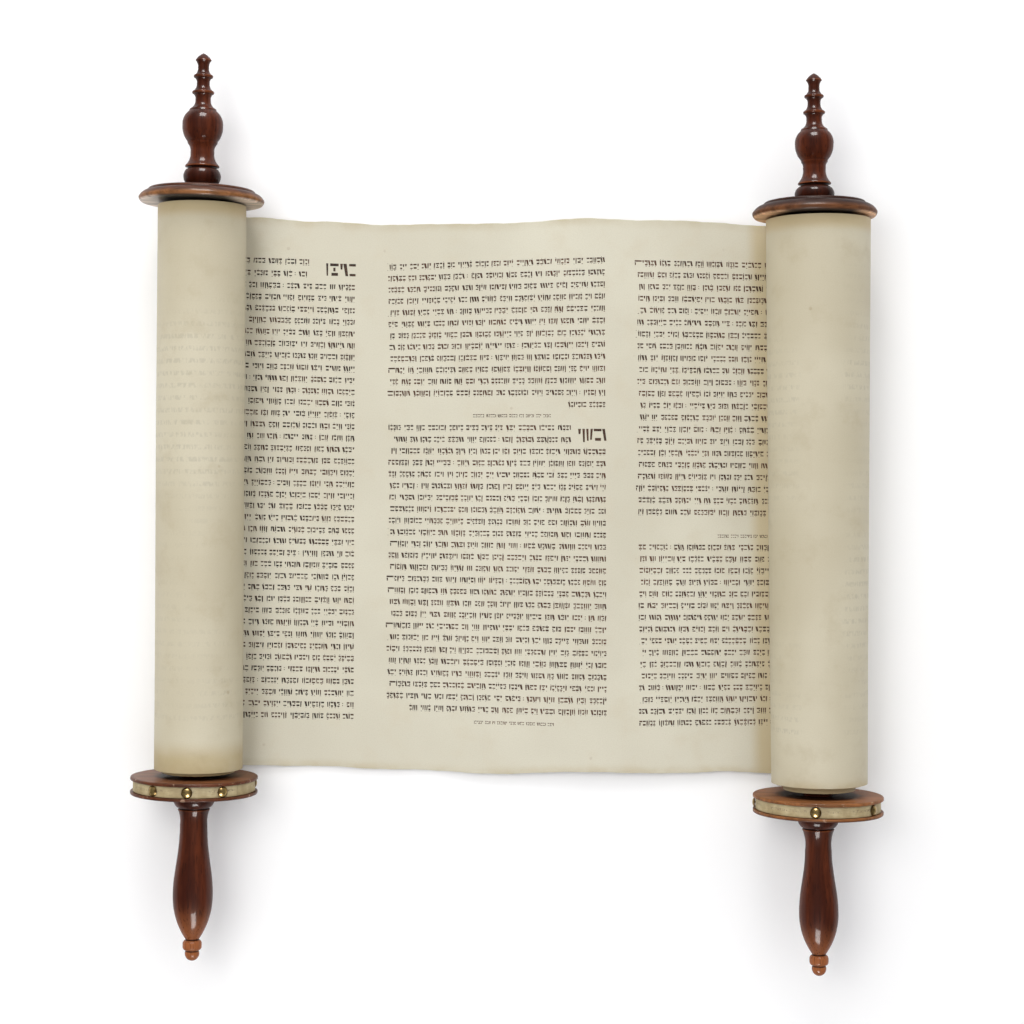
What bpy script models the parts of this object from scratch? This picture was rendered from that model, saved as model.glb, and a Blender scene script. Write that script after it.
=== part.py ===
"""A haftarah scroll that lies open on its back.

One long strip of parchment is wound on two turned wooden rollers, with an open span between them.
Each roller is a staff with its handle, a lower and an upper disc on the staff, and a finial. A strip
of parchment is nailed round the rim of each lower disc. Metres. +X runs from the left roller to the
right one, +Y towards the finials and +Z up. The rims of the four discs rest on the ground at z = 0.
"""

import math
from dataclasses import dataclass

import bmesh
import bpy
from mathutils import Matrix, Vector

# Fits
fit_gap = 0.0003
bore_clearance = 0.0004
boolean_overshoot = 0.01
ground_margin = 0.1

# The two rollers, measured between the axes half way up the left one
roller_spacing = 0.54415
right_roller_drop = 0.0145
shaft_radius = 0.0125
rest_flat_depth = 0.00035

# Parchment
parchment_height = 0.4945
parchment_thickness = 0.0005
sheet_sink = 0.0002  # into the roll that it comes off
sheet_tail = 0.006  # past the roll's lowest line
roll_edge_round = 0.0012
shell_inset = 0.0036

# The open sheet from the left roll's edge (0) to the right roll's edge (1): how far it wanders
# along the rollers, how much taller it is cut than the rolls, and how high its middle lies.
sheet_drift = ((0.0, -0.0017), (0.12, -0.0036), (0.26, -0.0065), (0.49, -0.0082), (0.65, -0.005),
               (0.78, -0.0065), (0.92, -0.0067), (1.0, -0.0090))
sheet_extra_height = ((0.0, 0.0008), (0.12, -0.0017), (0.26, -0.0019), (0.49, 0.0025), (0.65, 0.0045),
                      (0.78, 0.0048), (1.0, 0.0002))
sheet_lift = ((0.0, 0.005), (0.12, 0.003), (0.3, 0.0025), (0.49, 0.007), (0.65, 0.01), (0.8, 0.0075),
              (1.0, 0.005))
sheet_columns = 30
under_roll_columns = 6

# Finial: each moulding's radius, and its height below the one above it
tip_radius = 0.0071
tip_height = 0.0064
ring_thickness = 0.0030
upper_neck_radius = 0.0049
upper_neck_drop = 0.0066
upper_ring_radius = 0.0087
upper_ring_drop = 0.0076
middle_neck_radius = 0.0057
middle_neck_drop = 0.0061
lower_ring_radius = 0.0098
lower_ring_drop = 0.0081
lower_neck_radius = 0.0068
lower_neck_drop = 0.0064
ball_collar_radius = 0.0115
ball_collar_drop = 0.0082
ball_collar_height = 0.0018
ball_collar_flare = 0.0006
bead_height = 0.0018
bead_flare = 0.0003
base_collar_height = 0.0012
base_collar_flare = 0.0004
base_groove_depth = 0.0009
base_groove_drop = 0.0025

# Handle: the same, from the lower disc down
handle_collar_radius = 0.0186
handle_collar_height = 0.0118
handle_collar_foot_radius = 0.0148
handle_groove_radius = 0.0142
handle_groove_height = 0.0018
handle_shoulder_radius = 0.0141
handle_end_neck_radius = 0.0056
handle_bead_radius = 0.0084
handle_bead_height = 0.0094
handle_bead_flat = 0.0024
handle_knob_radius = 0.0058
handle_knob_height = 0.0092
handle_taper_power = 2.25

# Upper disc's rim
quirk_width = 0.0014
quirk_height = 0.0024
quirk_bevel = 0.0012
widest_share = 0.68  # of the disc's thickness, down from its top
underside_inset = 0.0022

# Lower disc's rim, with its nailed parchment band
flange_edge_round = 0.0006
band_recess = 0.0024
band_thickness = 0.0006
nail_head_edge = 0.0003
nail_dome_height = 0.0022
nail_shank_radius = 0.0009
nail_shank_length = 0.0080
nail_point_length = 0.0020

# Fullness of an arc: how far its middle stands off its chord, as a share of the chord
cone_swell = 0.08
ring_swell = 0.45
ball_upper_swell = 0.13
ball_lower_swell = 0.09
collar_swell = 0.18
knob_swell = 0.27
rim_swell = 0.13
soft_cove = -0.07
cove = -0.12
deep_cove = -0.16

# Facets
staff_sides = 14
disc_sides = 32
roll_sides = 28
nail_sides = 8
shank_sides = 6
handle_steps = 6
short_arc_steps = 2
middle_arc_steps = 3
long_arc_steps = 4

# Finishes: name, colour, roughness, metallic
mahogany = ("mahogany", (0.105, 0.022, 0.010), 0.30, 0.0)
disc_wood = ("disc_wood", (0.230, 0.070, 0.028), 0.38, 0.0)
parchment_finish = ("parchment", (0.680, 0.620, 0.480), 0.75, 0.0)
band_finish = ("band_parchment", (0.470, 0.410, 0.260), 0.80, 0.0)
brass = ("aged_brass", (0.330, 0.230, 0.090), 0.35, 1.0)


@dataclass
class Roller:
    """The sizes of one roller that its maker turned a little differently from the other's.

    Angles are in degrees, clockwise as seen from above, and a disc's are against its staff.
    """

    name: str
    lean: float
    upper_disc_radius: float
    upper_disc_thickness: float
    upper_disc_rim_width: float
    upper_disc_tilt: float
    upper_clearance: float  # least room between the roll and the upper disc
    lower_disc_radius: float
    lower_disc_thickness: float
    lower_disc_tilt: float
    lower_clearance: float  # least room between the roll's core and the lower disc
    flange_height: float
    ball_radius: float
    ball_drop: float
    ball_bead_radius: float
    ball_bead_drop: float
    base_neck_radius: float
    base_neck_drop: float
    base_collar_radius: float
    base_collar_drop: float
    base_bun_radius: float
    base_bun_height: float
    base_foot_height: float
    handle_neck_radius: float
    handle_neck_drop: float
    handle_belly_radius: float
    handle_belly_drop: float
    handle_belly_power: float  # above 1, the belly swells late
    handle_taper_drop: float
    roll_upper_radius: float
    roll_lower_radius: float
    roll_lean: float
    roll_offset: float  # the roll's middle beside the staff's axis
    core_inset: float  # how much less its inner turns' radius is than the roll's
    core_step: float  # how far the inner turns stand out of the roll's lower end
    shell_step: float  # how far the turns next to them stand out
    nail_angles: tuple  # round the rim from straight up, clockwise as seen from the handle


left = Roller(
    name="left", lean=0.734,
    upper_disc_radius=0.0548, upper_disc_thickness=0.0119, upper_disc_rim_width=0.0090,
    upper_disc_tilt=0.66, upper_clearance=0.0015,
    lower_disc_radius=0.0555, lower_disc_thickness=0.0154, lower_disc_tilt=0.23,
    lower_clearance=0.0032, flange_height=0.0026,
    ball_radius=0.0178, ball_drop=0.0131, ball_bead_radius=0.0129, ball_bead_drop=0.0137,
    base_neck_radius=0.0105, base_neck_drop=0.0078, base_collar_radius=0.0151, base_collar_drop=0.0115,
    base_bun_radius=0.0164, base_bun_height=0.0122, base_foot_height=0.0052,
    handle_neck_radius=0.0120, handle_neck_drop=0.0132, handle_belly_radius=0.0175,
    handle_belly_drop=0.0615, handle_belly_power=1.15, handle_taper_drop=0.0402,
    roll_upper_radius=0.0389, roll_lower_radius=0.0392, roll_lean=0.36, roll_offset=0.0021,
    core_inset=0.0067, core_step=0.0030, shell_step=0.0006,
    nail_angles=(-32.6, 2.0, 35.7, 108.0, 156.0, 204.0, 250.0),
)
right = Roller(
    name="right", lean=-0.294,
    upper_disc_radius=0.0546, upper_disc_thickness=0.0135, upper_disc_rim_width=0.0109,
    upper_disc_tilt=0.20, upper_clearance=0.0022,
    lower_disc_radius=0.0570, lower_disc_thickness=0.0159, lower_disc_tilt=0.99,
    lower_clearance=0.0043, flange_height=0.0028,
    ball_radius=0.0169, ball_drop=0.0121, ball_bead_radius=0.0115, ball_bead_drop=0.0135,
    base_neck_radius=0.0101, base_neck_drop=0.0048, base_collar_radius=0.0147, base_collar_drop=0.0133,
    base_bun_radius=0.0174, base_bun_height=0.0126, base_foot_height=0.0006,
    handle_neck_radius=0.0117, handle_neck_drop=0.0190, handle_belly_radius=0.0172,
    handle_belly_drop=0.0541, handle_belly_power=1.0, handle_taper_drop=0.0373,
    roll_upper_radius=0.0460, roll_lower_radius=0.0423, roll_lean=-0.07, roll_offset=0.0018,
    core_inset=0.0103, core_step=0.0060, shell_step=0.0015,
    nail_angles=(-97.0, -10.5, 51.0, 118.0, 205.0),
)
rollers = (left, right)


# Scene

def clear_scene():
    """Removes whatever the file holds."""
    for thing in list(bpy.data.objects):
        bpy.data.objects.remove(thing, do_unlink=True)


def new_collection(name):
    """A collection of that name in the scene."""
    collection = bpy.data.collections.new(name)
    bpy.context.scene.collection.children.link(collection)
    return collection


def finish(name, colour, roughness, metallic):
    """A Principled material, made once for each name."""
    material = bpy.data.materials.get(name) or bpy.data.materials.new(name)
    material.use_nodes = True
    shader = material.node_tree.nodes["Principled BSDF"]
    shader.inputs["Base Color"].default_value = (*colour, 1.0)
    shader.inputs["Roughness"].default_value = roughness
    shader.inputs["Metallic"].default_value = metallic
    material.diffuse_color = (*colour, 1.0)
    return material


def add_object(name, mesh, collection, parent=None):
    """An object for a mesh or an empty, in its collection and under its parent."""
    thing = bpy.data.objects.new(name, mesh)
    collection.objects.link(thing)
    thing.parent = parent
    return thing


def as_cutter(thing):
    """Keeps a cutter or a helper form out of the model."""
    thing.hide_render = True
    thing.display_type = "WIRE"
    return thing


# Outlines

class Outline:
    """A turned piece's outline, drawn from its upper end down. Its points are (radius, height)."""

    def __init__(self, radius=0.0):
        self.points = [(radius, 0.0)]

    def to(self, radius, drop=0.0, fullness=0.0, steps=1):
        """Goes to a radius, a drop lower, in a line or an arc that swells outwards or is a cove."""
        r0, z0 = self.points[-1]
        dr, dz = radius - r0, -drop
        chord = math.hypot(dr, dz)
        half = 2.0 * math.atan(2.0 * abs(fullness))
        for i in range(1, steps + 1):
            along, off = i / steps, 0.0
            if fullness:
                arc_radius = 0.5 / math.sin(half)
                angle = half * (2.0 * along - 1.0)
                along = 0.5 + arc_radius * math.sin(angle)
                off = math.copysign(arc_radius * (math.cos(angle) - math.cos(half)), fullness)
            self.points.append((r0 + dr * along - dz * off, z0 + dz * along + dr * off))
        return self

    def ring(self, radius, drop):
        """A cove that runs out to a thin ring with a round edge, whose middle is a drop lower."""
        shoulder = radius - ring_thickness / 2.0
        self.to(shoulder, drop - ring_thickness / 2.0, cove, short_arc_steps)
        return self.to(shoulder, ring_thickness, ring_swell, short_arc_steps)

    def end(self):
        """Closes the outline on the axis."""
        return self.to(0.0).points


def eased(start, end, share):
    """A value that leaves start and reaches end without a slope."""
    return start + (end - start) * (1.0 - math.cos(math.pi * share)) / 2.0


def through(points, at):
    """The height at a place of a soft curve through points."""
    if at <= points[0][0]:
        return points[0][1]
    for (x0, y0), (x1, y1) in zip(points, points[1:]):
        if at <= x1:
            return eased(y0, y1, (at - x0) / (x1 - x0))
    return points[-1][1]


def finial_outline(roller):
    """Tip, two rings, a ball with a collar and a bead, and a collar over a bun with a flat base."""
    line = Outline()
    line.to(tip_radius, tip_height, cone_swell, middle_arc_steps)
    line.to(upper_neck_radius, upper_neck_drop, cove, short_arc_steps)
    line.ring(upper_ring_radius, upper_ring_drop)
    line.to(middle_neck_radius, middle_neck_drop - ring_thickness / 2.0, cove, middle_arc_steps)
    line.ring(lower_ring_radius, lower_ring_drop)
    line.to(lower_neck_radius, lower_neck_drop - ring_thickness / 2.0, cove, middle_arc_steps)
    line.to(ball_collar_radius, ball_collar_drop, deep_cove, short_arc_steps)
    line.to(ball_collar_radius + ball_collar_flare, ball_collar_height)
    line.to(roller.ball_radius, roller.ball_drop, ball_upper_swell, long_arc_steps)
    line.to(roller.ball_bead_radius + bead_flare, roller.ball_bead_drop, ball_lower_swell, long_arc_steps)
    line.to(roller.ball_bead_radius, bead_height)
    line.to(roller.base_neck_radius, roller.base_neck_drop, cove, short_arc_steps)
    line.to(roller.base_collar_radius - base_collar_flare, roller.base_collar_drop, cove, long_arc_steps)
    line.to(roller.base_collar_radius, base_collar_height)
    groove = roller.base_collar_radius - base_groove_depth
    line.to(groove, base_groove_drop)
    bun_swell = (roller.base_bun_radius - groove) / roller.base_bun_height
    line.to(groove, roller.base_bun_height, bun_swell, long_arc_steps)
    line.to(groove, roller.base_foot_height)
    return line.end()


def staff_outline(roller):
    """The plain shaft from the top of the upper disc, and the handle below the lower disc."""
    line = Outline()
    line.to(shaft_radius)
    line.to(shaft_radius, shaft_length(roller))
    line.to(handle_collar_radius)
    line.to(handle_collar_foot_radius, handle_collar_height, collar_swell, middle_arc_steps)
    line.to(handle_groove_radius, handle_groove_height / 2.0)
    line.to(handle_shoulder_radius, handle_groove_height / 2.0)
    line.to(roller.handle_neck_radius, roller.handle_neck_drop, soft_cove, middle_arc_steps)
    for i in range(1, handle_steps + 1):
        share = (i / handle_steps) ** roller.handle_belly_power
        line.to(eased(roller.handle_neck_radius, roller.handle_belly_radius, share),
                roller.handle_belly_drop / handle_steps)
    for i in range(1, handle_steps + 1):
        share = (i / handle_steps) ** handle_taper_power
        line.to(roller.handle_belly_radius + (handle_end_neck_radius - roller.handle_belly_radius) * share,
                roller.handle_taper_drop / handle_steps)
    slope = (handle_bead_height - handle_bead_flat) / 2.0
    line.to(handle_bead_radius, slope)
    line.to(handle_bead_radius, handle_bead_flat)
    line.to(handle_knob_radius, slope)
    return line.to(0.0, handle_knob_height, knob_swell, middle_arc_steps).points


def upper_disc_outline(roller):
    """A flat land on top, a quirk, a swelling rim with a soft lower edge, and a flat underside."""
    land = roller.upper_disc_radius - roller.upper_disc_rim_width
    widest_at = widest_share * roller.upper_disc_thickness
    line = Outline()
    line.to(land)
    line.to(land + quirk_bevel, quirk_bevel)
    line.to(land + quirk_width, quirk_height - quirk_bevel)
    line.to(roller.upper_disc_radius, widest_at - quirk_height, rim_swell, middle_arc_steps)
    below = roller.upper_disc_thickness - widest_at
    line.to(roller.upper_disc_radius - underside_inset, below, rim_swell, short_arc_steps)
    return line.end()


def lower_disc_outline(roller):
    """A plain disc with a square groove round its rim for the parchment band."""
    radius = roller.lower_disc_radius
    flange = roller.flange_height - flange_edge_round
    line = Outline()
    line.to(radius - flange_edge_round)
    line.to(radius, flange_edge_round)
    line.to(radius, flange)
    line.to(groove_radius(roller))
    line.to(groove_radius(roller), groove_height(roller))
    line.to(radius)
    line.to(radius, flange)
    line.to(radius - flange_edge_round, flange_edge_round)
    return line.end()


def roll_outline(roller):
    """The wound parchment without its bore: its inner turns stand out of the lower end."""
    lower = roller.roll_lower_radius
    shell_radius = lower - shell_inset
    core_radius = lower - roller.core_inset
    line = Outline()
    line.to(roller.roll_upper_radius)
    line.to(lower, parchment_height - roll_edge_round)
    line.to(lower - roll_edge_round, roll_edge_round)
    line.to(shell_radius)
    line.to(shell_radius, roller.shell_step)
    line.to(core_radius)
    line.to(core_radius, roller.core_step - roller.shell_step)
    return line.end()


def nail_outline(roller):
    """A domed head with a flat underside, and a pointed shank."""
    head = nail_head_radius(roller)
    line = Outline()
    line.to(head, nail_dome_height, dome_swell(head, nail_dome_height), short_arc_steps)
    line.to(head, nail_head_edge)
    line.to(nail_shank_radius)
    line.to(nail_shank_radius, nail_shank_length - nail_point_length)
    return line.to(0.0, nail_point_length).points


# Sizes that follow from the driving ones

def groove_radius(roller):
    """The floor of the lower disc's rim groove."""
    return roller.lower_disc_radius - band_recess - band_thickness - fit_gap


def groove_height(roller):
    """The groove between the lower disc's two flanges."""
    return roller.lower_disc_thickness - 2.0 * roller.flange_height


def band_radius(roller):
    """The outside of the parchment band."""
    return groove_radius(roller) + fit_gap + band_thickness


def nail_head_radius(roller):
    """A head that fills the groove's height."""
    return groove_height(roller) / 2.0 - fit_gap


def dome_swell(radius, height):
    """The fullness of an arc that leaves the axis level, as on a round cap."""
    return math.tan(math.atan2(height, radius) / 2.0) / 2.0


def askew(radius, angle):
    """How far the edge of a round face stands out when the face is askew by an angle in degrees."""
    return radius * math.tan(math.radians(abs(angle)))


def upper_gap(roller):
    """Between the roll and the upper disc, on the roll's axis."""
    tilt = roller.upper_disc_tilt - roller.roll_lean + roller.lean
    return roller.upper_clearance + askew(roller.roll_upper_radius, tilt)


def lower_gap(roller):
    """Between the roll and the lower disc, on the roll's axis."""
    tilt = roller.lower_disc_tilt - roller.roll_lean + roller.lean
    return roller.core_step + roller.lower_clearance + askew(roller.roll_lower_radius, tilt)


def disc_distance(roller):
    """Between the inner faces of the two discs."""
    return parchment_height + upper_gap(roller) + lower_gap(roller)


def shaft_length(roller):
    """From the top of the upper disc to the handle's shoulder."""
    discs = roller.upper_disc_thickness + disc_distance(roller) + roller.lower_disc_thickness
    return discs + fit_gap + askew(handle_collar_radius, roller.lower_disc_tilt)


def rim_height(radius):
    """The height of a staff's axis where a disc of that radius stands on its flat."""
    return radius - rest_flat_depth


def roller_matrix(roller):
    """The roller's frame: its origin half way between the discs, +Z to the finial and +Y down."""
    high = rim_height(roller.lower_disc_radius)
    low = rim_height(roller.upper_disc_radius)
    pitch = math.atan2(low - high, disc_distance(roller))
    side = -0.5 if roller is left else 0.5
    drop = 0.0 if roller is left else right_roller_drop
    place = Matrix.Translation((side * roller_spacing, -drop, (high + low) / 2.0))
    lean = Matrix.Rotation(math.radians(-roller.lean), 4, "Z")
    return place @ lean @ Matrix.Rotation(pitch - math.pi / 2.0, 4, "X")


def roll_matrix(roller):
    """The wound parchment's frame inside the roller's: its origin in the middle of the roll."""
    shift = (lower_gap(roller) - upper_gap(roller)) / 2.0
    place = Matrix.Translation((roller.roll_offset, 0.0, shift))
    return place @ Matrix.Rotation(math.radians(roller.roll_lean - roller.lean), 4, "Y")


def roll_underside(roller, share):
    """The lowest line of a roll, from its lower end (0) to its upper end (1), and its radius there."""
    radius = roller.roll_lower_radius + (roller.roll_upper_radius - roller.roll_lower_radius) * share
    station = parchment_height * (share - 0.5)
    middle = roller_matrix(roller) @ roll_matrix(roller) @ Vector((0.0, 0.0, station))
    return middle.x, middle.z - radius, radius


def roll_middle_y(roller):
    """Where the middle of a roll lies along Y."""
    return (roller_matrix(roller) @ roll_matrix(roller)).translation.y


def arc_rise(radius, offset):
    """How far a circle of that radius has risen at an offset from its lowest point."""
    return radius - math.sqrt(radius * radius - offset * offset)


# Pieces

def turned(name, outline, sides, collection, parent=None, material=None):
    """A solid of revolution about its own Z axis. An outline that starts off the axis is a ring's."""
    mesh = bpy.data.meshes.new(name)
    form = bmesh.new()
    vertices = [form.verts.new((r, 0.0, z)) for r, z in outline]
    for upper, lower in zip(vertices, vertices[1:]):
        form.edges.new((upper, lower))
    if outline[0][0] > 0.0:
        form.edges.new((vertices[-1], vertices[0]))
    form.to_mesh(mesh)
    form.free()
    thing = add_object(name, mesh, collection, parent)
    screw = thing.modifiers.new("turn", "SCREW")
    screw.steps = sides
    screw.render_steps = sides
    screw.use_merge_vertices = True
    screw.merge_threshold = 0.00001
    screw.use_smooth_shade = True
    if material:
        mesh.materials.append(material)
    return thing


def cut(thing, cutter, operation="DIFFERENCE"):
    """A Boolean modifier with the exact solver."""
    modifier = thing.modifiers.new(f"{operation.lower()}_{cutter.name}", "BOOLEAN")
    modifier.operation = operation
    modifier.object = cutter
    modifier.solver = "EXACT"


def rod(name, radius, top, length, sides, collection, parent):
    """A plain round cutter along its parent's Z axis, down from a top."""
    outline = Outline().to(radius).to(radius, length).end()
    cutter = as_cutter(turned(name, outline, sides, collection, parent))
    cutter.location = (0.0, 0.0, top)
    return cutter


def ground_cutter(collection, root):
    """A slab below z = 0 that takes the small flats off the rims."""
    widest = max(roller.lower_disc_radius for roller in rollers)
    longest = max(disc_distance(roller) + 2.0 * roller.lower_disc_thickness for roller in rollers)
    width = roller_spacing + 2.0 * widest + ground_margin
    length = longest + 2.0 * right_roller_drop + ground_margin
    mesh = bpy.data.meshes.new("ground_cutter")
    form = bmesh.new()
    bmesh.ops.create_cube(form, size=1.0)
    bmesh.ops.scale(form, vec=(width, length, boolean_overshoot), verts=form.verts)
    bmesh.ops.translate(form, vec=(0.0, 0.0, -boolean_overshoot / 2.0), verts=form.verts)
    form.to_mesh(mesh)
    form.free()
    return as_cutter(add_object("ground_cutter", mesh, collection, root))


def build_band(roller, disc, parts):
    """The strip of parchment that lies in the rim groove."""
    height = groove_height(roller) - 2.0 * fit_gap
    outside = band_radius(roller)
    inside = outside - band_thickness
    outline = Outline(inside).to(outside).to(outside, height).to(inside).points
    band = turned(f"{roller.name}_rim_band", outline, disc_sides, parts, disc, finish(*band_finish))
    band.location = (0.0, 0.0, -roller.flange_height - fit_gap)
    return band


def build_nails(roller, disc, band, parts, cutters):
    """Domed nails through the band into the disc, each in its own hole."""
    middle = Matrix.Translation((0.0, 0.0, -roller.lower_disc_thickness / 2.0))
    underside = band_radius(roller) + fit_gap
    top = Matrix.Translation((0.0, 0.0, underside + nail_head_edge + nail_dome_height))
    for number, angle in enumerate(roller.nail_angles, 1):
        # The disc's own +Y points down, so straight up is its -Y.
        outwards = Matrix.Rotation(math.radians(angle), 4, "Z") @ Matrix.Rotation(math.pi / 2.0, 4, "X")
        name = f"{roller.name}_rim_nail_{number:02d}"
        nail = turned(name, nail_outline(roller), nail_sides, parts, disc, finish(*brass))
        nail.matrix_local = middle @ outwards @ top
        hole = rod(f"{name}_hole", nail_shank_radius + fit_gap, 0.0,
                   boolean_overshoot + nail_shank_length + fit_gap, shank_sides, cutters, disc)
        hole.matrix_local = middle @ outwards @ Matrix.Translation((0.0, 0.0, underside + boolean_overshoot))
        cut(disc, hole)
        cut(band, hole)


def build_roller(roller, parts, cutters, ground, root):
    """One roller: finial, staff, two discs and the nailed band. Returns its bore cutter."""
    frame = add_object(f"{roller.name}_roller", None, parts, root)
    frame.matrix_local = roller_matrix(roller)
    half = disc_distance(roller) / 2.0
    reach = half + roller.lower_disc_thickness + boolean_overshoot
    bore = rod(f"{roller.name}_bore", shaft_radius + bore_clearance, reach, 2.0 * reach, staff_sides,
               cutters, frame)

    upper = turned(f"{roller.name}_upper_disc", upper_disc_outline(roller), disc_sides, parts, frame,
                   finish(*disc_wood))
    upper.location = (0.0, 0.0, half + roller.upper_disc_thickness)
    upper.rotation_euler = (0.0, math.radians(roller.upper_disc_tilt), 0.0)
    lower = turned(f"{roller.name}_lower_disc", lower_disc_outline(roller), disc_sides, parts, frame,
                   finish(*disc_wood))
    lower.location = (0.0, 0.0, -half)
    lower.rotation_euler = (0.0, math.radians(roller.lower_disc_tilt), 0.0)
    for disc in (upper, lower):
        cut(disc, bore)
        cut(disc, ground)
    band = build_band(roller, lower, parts)
    build_nails(roller, lower, band, parts, cutters)

    staff = turned(f"{roller.name}_staff", staff_outline(roller), staff_sides, parts, frame,
                   finish(*mahogany))
    staff.location = upper.location
    outline = finial_outline(roller)
    finial = turned(f"{roller.name}_finial", outline, staff_sides, parts, frame, finish(*mahogany))
    seat = fit_gap + askew(roller.base_collar_radius, roller.upper_disc_tilt)
    finial.location = upper.location + Vector((0.0, 0.0, seat - outline[-1][1]))
    return bore


def sheet_stations():
    """Places across the sheet: a part of the sheet and the share of that part."""
    stations = [("tail_left", 0.0)]
    stations += [("under_left", i / under_roll_columns) for i in range(under_roll_columns)]
    stations += [("open", i / sheet_columns) for i in range(sheet_columns + 1)]
    stations += [("under_right", 1.0 - i / under_roll_columns) for i in range(1, under_roll_columns + 1)]
    stations += [("tail_right", 0.0)]
    return stations


def sheet_height(share):
    """How tall the open sheet is cut."""
    return parchment_height + through(sheet_extra_height, share)


def sheet_point(part, share, up):
    """A point of the sheet's middle surface, up from its lower edge (0) to its upper edge (1)."""
    if part == "open":
        left_x, _, left_radius = roll_underside(left, up)
        right_x, _, right_radius = roll_underside(right, up)
        start = left_x + left_radius
        end = right_x - right_radius
        y = through(sheet_drift, share) + (up - 0.5) * sheet_height(share)
        return Vector((start + (end - start) * share, y, through(sheet_lift, share)))
    roller, edge, inward = (left, 0.0, 1.0) if part.endswith("left") else (right, 1.0, -1.0)
    x, z, radius = roll_underside(roller, up)
    drift = eased(roll_middle_y(roller), through(sheet_drift, edge), share)
    height = eased(parchment_height, sheet_height(edge), share)
    y = drift + (up - 0.5) * height
    if part.startswith("tail"):
        return Vector((x - inward * sheet_tail, y, z + sheet_sink + arc_rise(radius, sheet_tail)))
    return Vector((x + inward * radius * share, y, eased(z + sheet_sink, through(sheet_lift, edge), share)))


def build_parchment(parts, cutters, bores, root):
    """The whole strip as one solid: a roll round each staff and the open sheet between them."""
    mesh = bpy.data.meshes.new("parchment")
    form = bmesh.new()
    rows = [[form.verts.new(sheet_point(part, share, up)) for up in (0.0, 1.0)]
            for part, share in sheet_stations()]
    for here, there in zip(rows, rows[1:]):
        form.faces.new((here[0], there[0], there[1], here[1]))
    form.to_mesh(mesh)
    form.free()
    parchment = add_object("parchment", mesh, parts, root)
    mesh.materials.append(finish(*parchment_finish))
    solidify = parchment.modifiers.new("thickness", "SOLIDIFY")
    solidify.thickness = parchment_thickness
    solidify.offset = 0.0
    for roller, bore in zip(rollers, bores):
        roll = turned(f"{roller.name}_roll_form", roll_outline(roller), roll_sides, cutters, bore.parent)
        as_cutter(roll)
        roll.matrix_local = roll_matrix(roller) @ Matrix.Translation((0.0, 0.0, parchment_height / 2.0))
        cut(parchment, roll, "UNION")
        cut(parchment, bore)


def stand_on_origin(root, parts):
    """Moves the model so that the origin is below the middle of its box."""
    bpy.context.view_layer.update()
    depsgraph = bpy.context.evaluated_depsgraph_get()
    corners = []
    for thing in parts.objects:
        if thing.type == "MESH":
            seen = thing.evaluated_get(depsgraph)
            corners += [seen.matrix_world @ vertex.co for vertex in seen.data.vertices]
    low = [min(corner[axis] for corner in corners) for axis in range(3)]
    high = [max(corner[axis] for corner in corners) for axis in range(3)]
    root.location = (-(low[0] + high[0]) / 2.0, -(low[1] + high[1]) / 2.0, -low[2])


def main():
    """Builds the scroll in its own collection, and the cutters in another."""
    clear_scene()
    parts = new_collection("haftarah_scroll")
    cutters = new_collection("cutters")
    root = add_object("haftarah_scroll_root", None, parts)
    ground = ground_cutter(cutters, root)
    bores = [build_roller(roller, parts, cutters, ground, root) for roller in rollers]
    build_parchment(parts, cutters, bores, root)
    stand_on_origin(root, parts)


main()
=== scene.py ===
"""The looks of a haftarah scroll that lies open on its back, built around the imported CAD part.

Metres. +X runs from the left roller to the right one, +Y towards the finials and +Z up. The sizes of
the rollers and the sheet repeat those of the part's source, because this script can't read it.
"""

import math
import random
from dataclasses import dataclass
from types import SimpleNamespace

import bpy
import numpy as np
from mathutils import Matrix, Vector
from mathutils.geometry import delaunay_2d_cdt


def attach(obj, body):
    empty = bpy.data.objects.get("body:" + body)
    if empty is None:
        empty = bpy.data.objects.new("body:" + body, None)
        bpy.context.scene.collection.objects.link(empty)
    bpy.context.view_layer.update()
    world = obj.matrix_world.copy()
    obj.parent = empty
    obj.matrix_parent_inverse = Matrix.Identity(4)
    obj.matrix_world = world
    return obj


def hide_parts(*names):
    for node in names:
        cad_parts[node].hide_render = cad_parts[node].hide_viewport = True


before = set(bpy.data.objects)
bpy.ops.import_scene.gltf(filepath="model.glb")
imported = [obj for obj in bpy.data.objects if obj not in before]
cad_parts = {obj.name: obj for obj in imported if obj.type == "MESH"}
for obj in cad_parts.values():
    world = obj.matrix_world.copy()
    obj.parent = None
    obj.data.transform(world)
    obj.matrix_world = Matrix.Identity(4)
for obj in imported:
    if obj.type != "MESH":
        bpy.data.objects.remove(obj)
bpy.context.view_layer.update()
scene = bpy.context.scene

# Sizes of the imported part
root_shift = Vector((0.0003371, 0.0216020, 0.0))
fit_gap = 0.0003
roller_spacing = 0.54415
right_roller_drop = 0.0145
shaft_radius = 0.0125
rest_flat_depth = 0.00035
parchment_height = 0.4945
parchment_thickness = 0.0005
shell_inset = 0.0036
sheet_drift = ((0.0, -0.0017), (0.12, -0.0036), (0.26, -0.0065), (0.49, -0.0082), (0.65, -0.005),
               (0.78, -0.0065), (0.92, -0.0067), (1.0, -0.0090))
sheet_extra_height = ((0.0, 0.0008), (0.12, -0.0017), (0.26, -0.0019), (0.49, 0.0025), (0.65, 0.0045),
                      (0.78, 0.0048), (1.0, 0.0002))
sheet_lift = ((0.0, 0.005), (0.12, 0.003), (0.3, 0.0025), (0.49, 0.007), (0.65, 0.01), (0.8, 0.0075),
              (1.0, 0.005))
tip_radius = 0.0071
tip_height = 0.0064
ring_thickness = 0.0030
upper_neck_radius = 0.0049
upper_neck_drop = 0.0066
upper_ring_radius = 0.0087
upper_ring_drop = 0.0076
middle_neck_radius = 0.0057
middle_neck_drop = 0.0061
lower_ring_radius = 0.0098
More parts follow.
